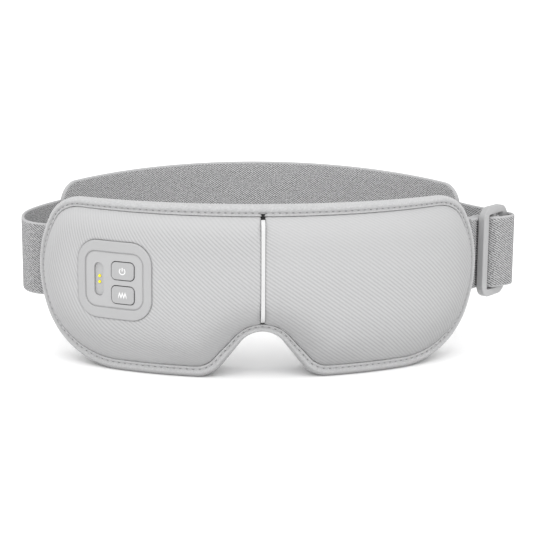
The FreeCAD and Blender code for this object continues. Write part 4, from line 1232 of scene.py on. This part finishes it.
class MASSAGER_OT_inner_works(bpy.types.Operator):
    """Finishes of the pieces inside the mask"""

    bl_idname = "massager.inner_works"
    bl_label = "Inner works"

    def execute(self, context):
        frames = ["inner_frame_left", "inner_frame_right", "control_housing"]
        films = ["heating_film_left", "heating_film_right", "bridge_cable"]
        steel = ["board_screws", "motor_left", "motor_right", "motor_rotor_left", "motor_rotor_right"]
        rows = (
            (moulded("frame_plastic", (0.72, 0.72, 0.72), 0.55), frames),
            (moulded("copper_film", (0.72, 0.40, 0.16), 0.45), films),
            (moulded("cell_foil", (0.68, 0.69, 0.71), 0.35, 0.00002, None, 0.8), ["battery_cell"]),
            (moulded("board_green", (0.05, 0.24, 0.10), 0.4), ["control_board"]),
            (moulded("switch_black", (0.05, 0.05, 0.05), 0.5), ["tact_switches"]),
            (moulded("cradle_rubber", (0.08, 0.08, 0.08), 0.8), ["motor_cradle_left", "motor_cradle_right"]),
            (moulded("magnet_nickel", (0.62, 0.61, 0.58), 0.2, 0.000004, None, 1.0), ["charge_magnets"]),
            (moulded("plated_steel", (0.58, 0.58, 0.59), 0.3, 0.000008, None, 1.0), steel),
        )
        dress_nodes(rows)
        return {"FINISHED"}


class MASSAGER_OT_studio(bpy.types.Operator):
    """Pale floor, even soft light and the camera"""

    bl_idname = "massager.studio"
    bl_label = "Studio"

    def execute(self, context):
        studio = context.scene.massager.studio
        scene = context.scene
        side = studio.floor / 2
        corners = [(-side, -side, 0), (side, -side, 0), (side, side, 0), (-side, side, 0)]
        finish, start = new_finish("pale_floor", {"Specular IOR Level": 0.0})
        cloud = start.noise(start.place(), 2.0)
        dark = [c * 0.995 for c in studio.floor_grey]
        dress(finish, {"Base Color": cloud.mix(dark, studio.floor_grey), "Roughness": 0.9})
        new_piece("floor", corners, [(0, 1, 2, 3)], finish)
        world = bpy.data.worlds.new("studio_sky")
        world.use_nodes = True
        sky = world.node_tree.nodes["Background"]
        sky.inputs["Color"].default_value = (1, 1, 1, 1)
        sky.inputs["Strength"].default_value = studio.sky
        scene.world = world
        data = bpy.data.lights.new("soft_sun", "SUN")
        data.energy = studio.sun
        data.angle = studio.sun_spread
        sun = bpy.data.objects.new("soft_sun", data)
        high, aside = studio.sun_height, studio.sun_side
        toward = Vector((-sin(aside) * cos(high), -cos(aside) * cos(high), sin(high)))
        sun.rotation_euler = toward.to_track_quat("Z", "Y").to_euler()
        scene.collection.objects.link(sun)
        scene.view_settings.view_transform = "Standard"
        data = bpy.data.cameras.new("camera")
        data.lens = studio.lens
        data.clip_start = 0.01
        camera = bpy.data.objects.new("camera", data)
        scene.collection.objects.link(camera)
        turned, lifted = studio.azimuth, studio.elevation
        back = Vector((sin(turned) * cos(lifted), -cos(turned) * cos(lifted), sin(lifted)))
        camera.location = Vector(studio.aim) + back * studio.distance
        sight = (-back).to_track_quat("-Z", "Y")
        camera.rotation_euler = (sight @ Quaternion((0, 0, 1), studio.roll)).to_euler()
        scene.camera = camera
        return {"FINISHED"}


OPERATORS = (
    MASSAGER_OT_studio,
    MASSAGER_OT_front_cloth,
    MASSAGER_OT_rim_binding,
    MASSAGER_OT_face_lining,
    MASSAGER_OT_head_strap,
    MASSAGER_OT_control_pod,
    MASSAGER_OT_small_trim,
    MASSAGER_OT_inner_works,
)


class MASSAGER_PT_panel(bpy.types.Panel):
    """Steps and settings of the eye massager"""

    bl_idname = "MASSAGER_PT_panel"
    bl_label = "Eye massager"
    bl_space_type = "VIEW_3D"
    bl_region_type = "UI"
    bl_category = "Massager"

    def draw(self, context):
        layout = self.layout
        for operator in OPERATORS:
            layout.operator(operator.bl_idname)
        settings = context.scene.massager
        for group in (settings.mask, settings.strap, settings.look, settings.studio):
            box = layout.box()
            for name in group.__annotations__:
                box.prop(group, name)


CLASSES = (MaskSizes, StrapSizes, Finishes, StudioSizes, MassagerSettings, *OPERATORS, MASSAGER_PT_panel)


def register():
    for part in CLASSES:
        bpy.utils.register_class(part)
    bpy.types.Scene.massager = bpy.props.PointerProperty(type=MassagerSettings)


def unregister():
    del bpy.types.Scene.massager
    for part in reversed(CLASSES):
        bpy.utils.unregister_class(part)


def main():
    register()
    bpy.ops.massager.studio()
    bpy.ops.massager.front_cloth()
    bpy.ops.massager.rim_binding()
    bpy.ops.massager.face_lining()
    bpy.ops.massager.head_strap()
    bpy.ops.massager.control_pod()
    bpy.ops.massager.small_trim()
    bpy.ops.massager.inner_works()


if __name__ == "__main__":
    main()
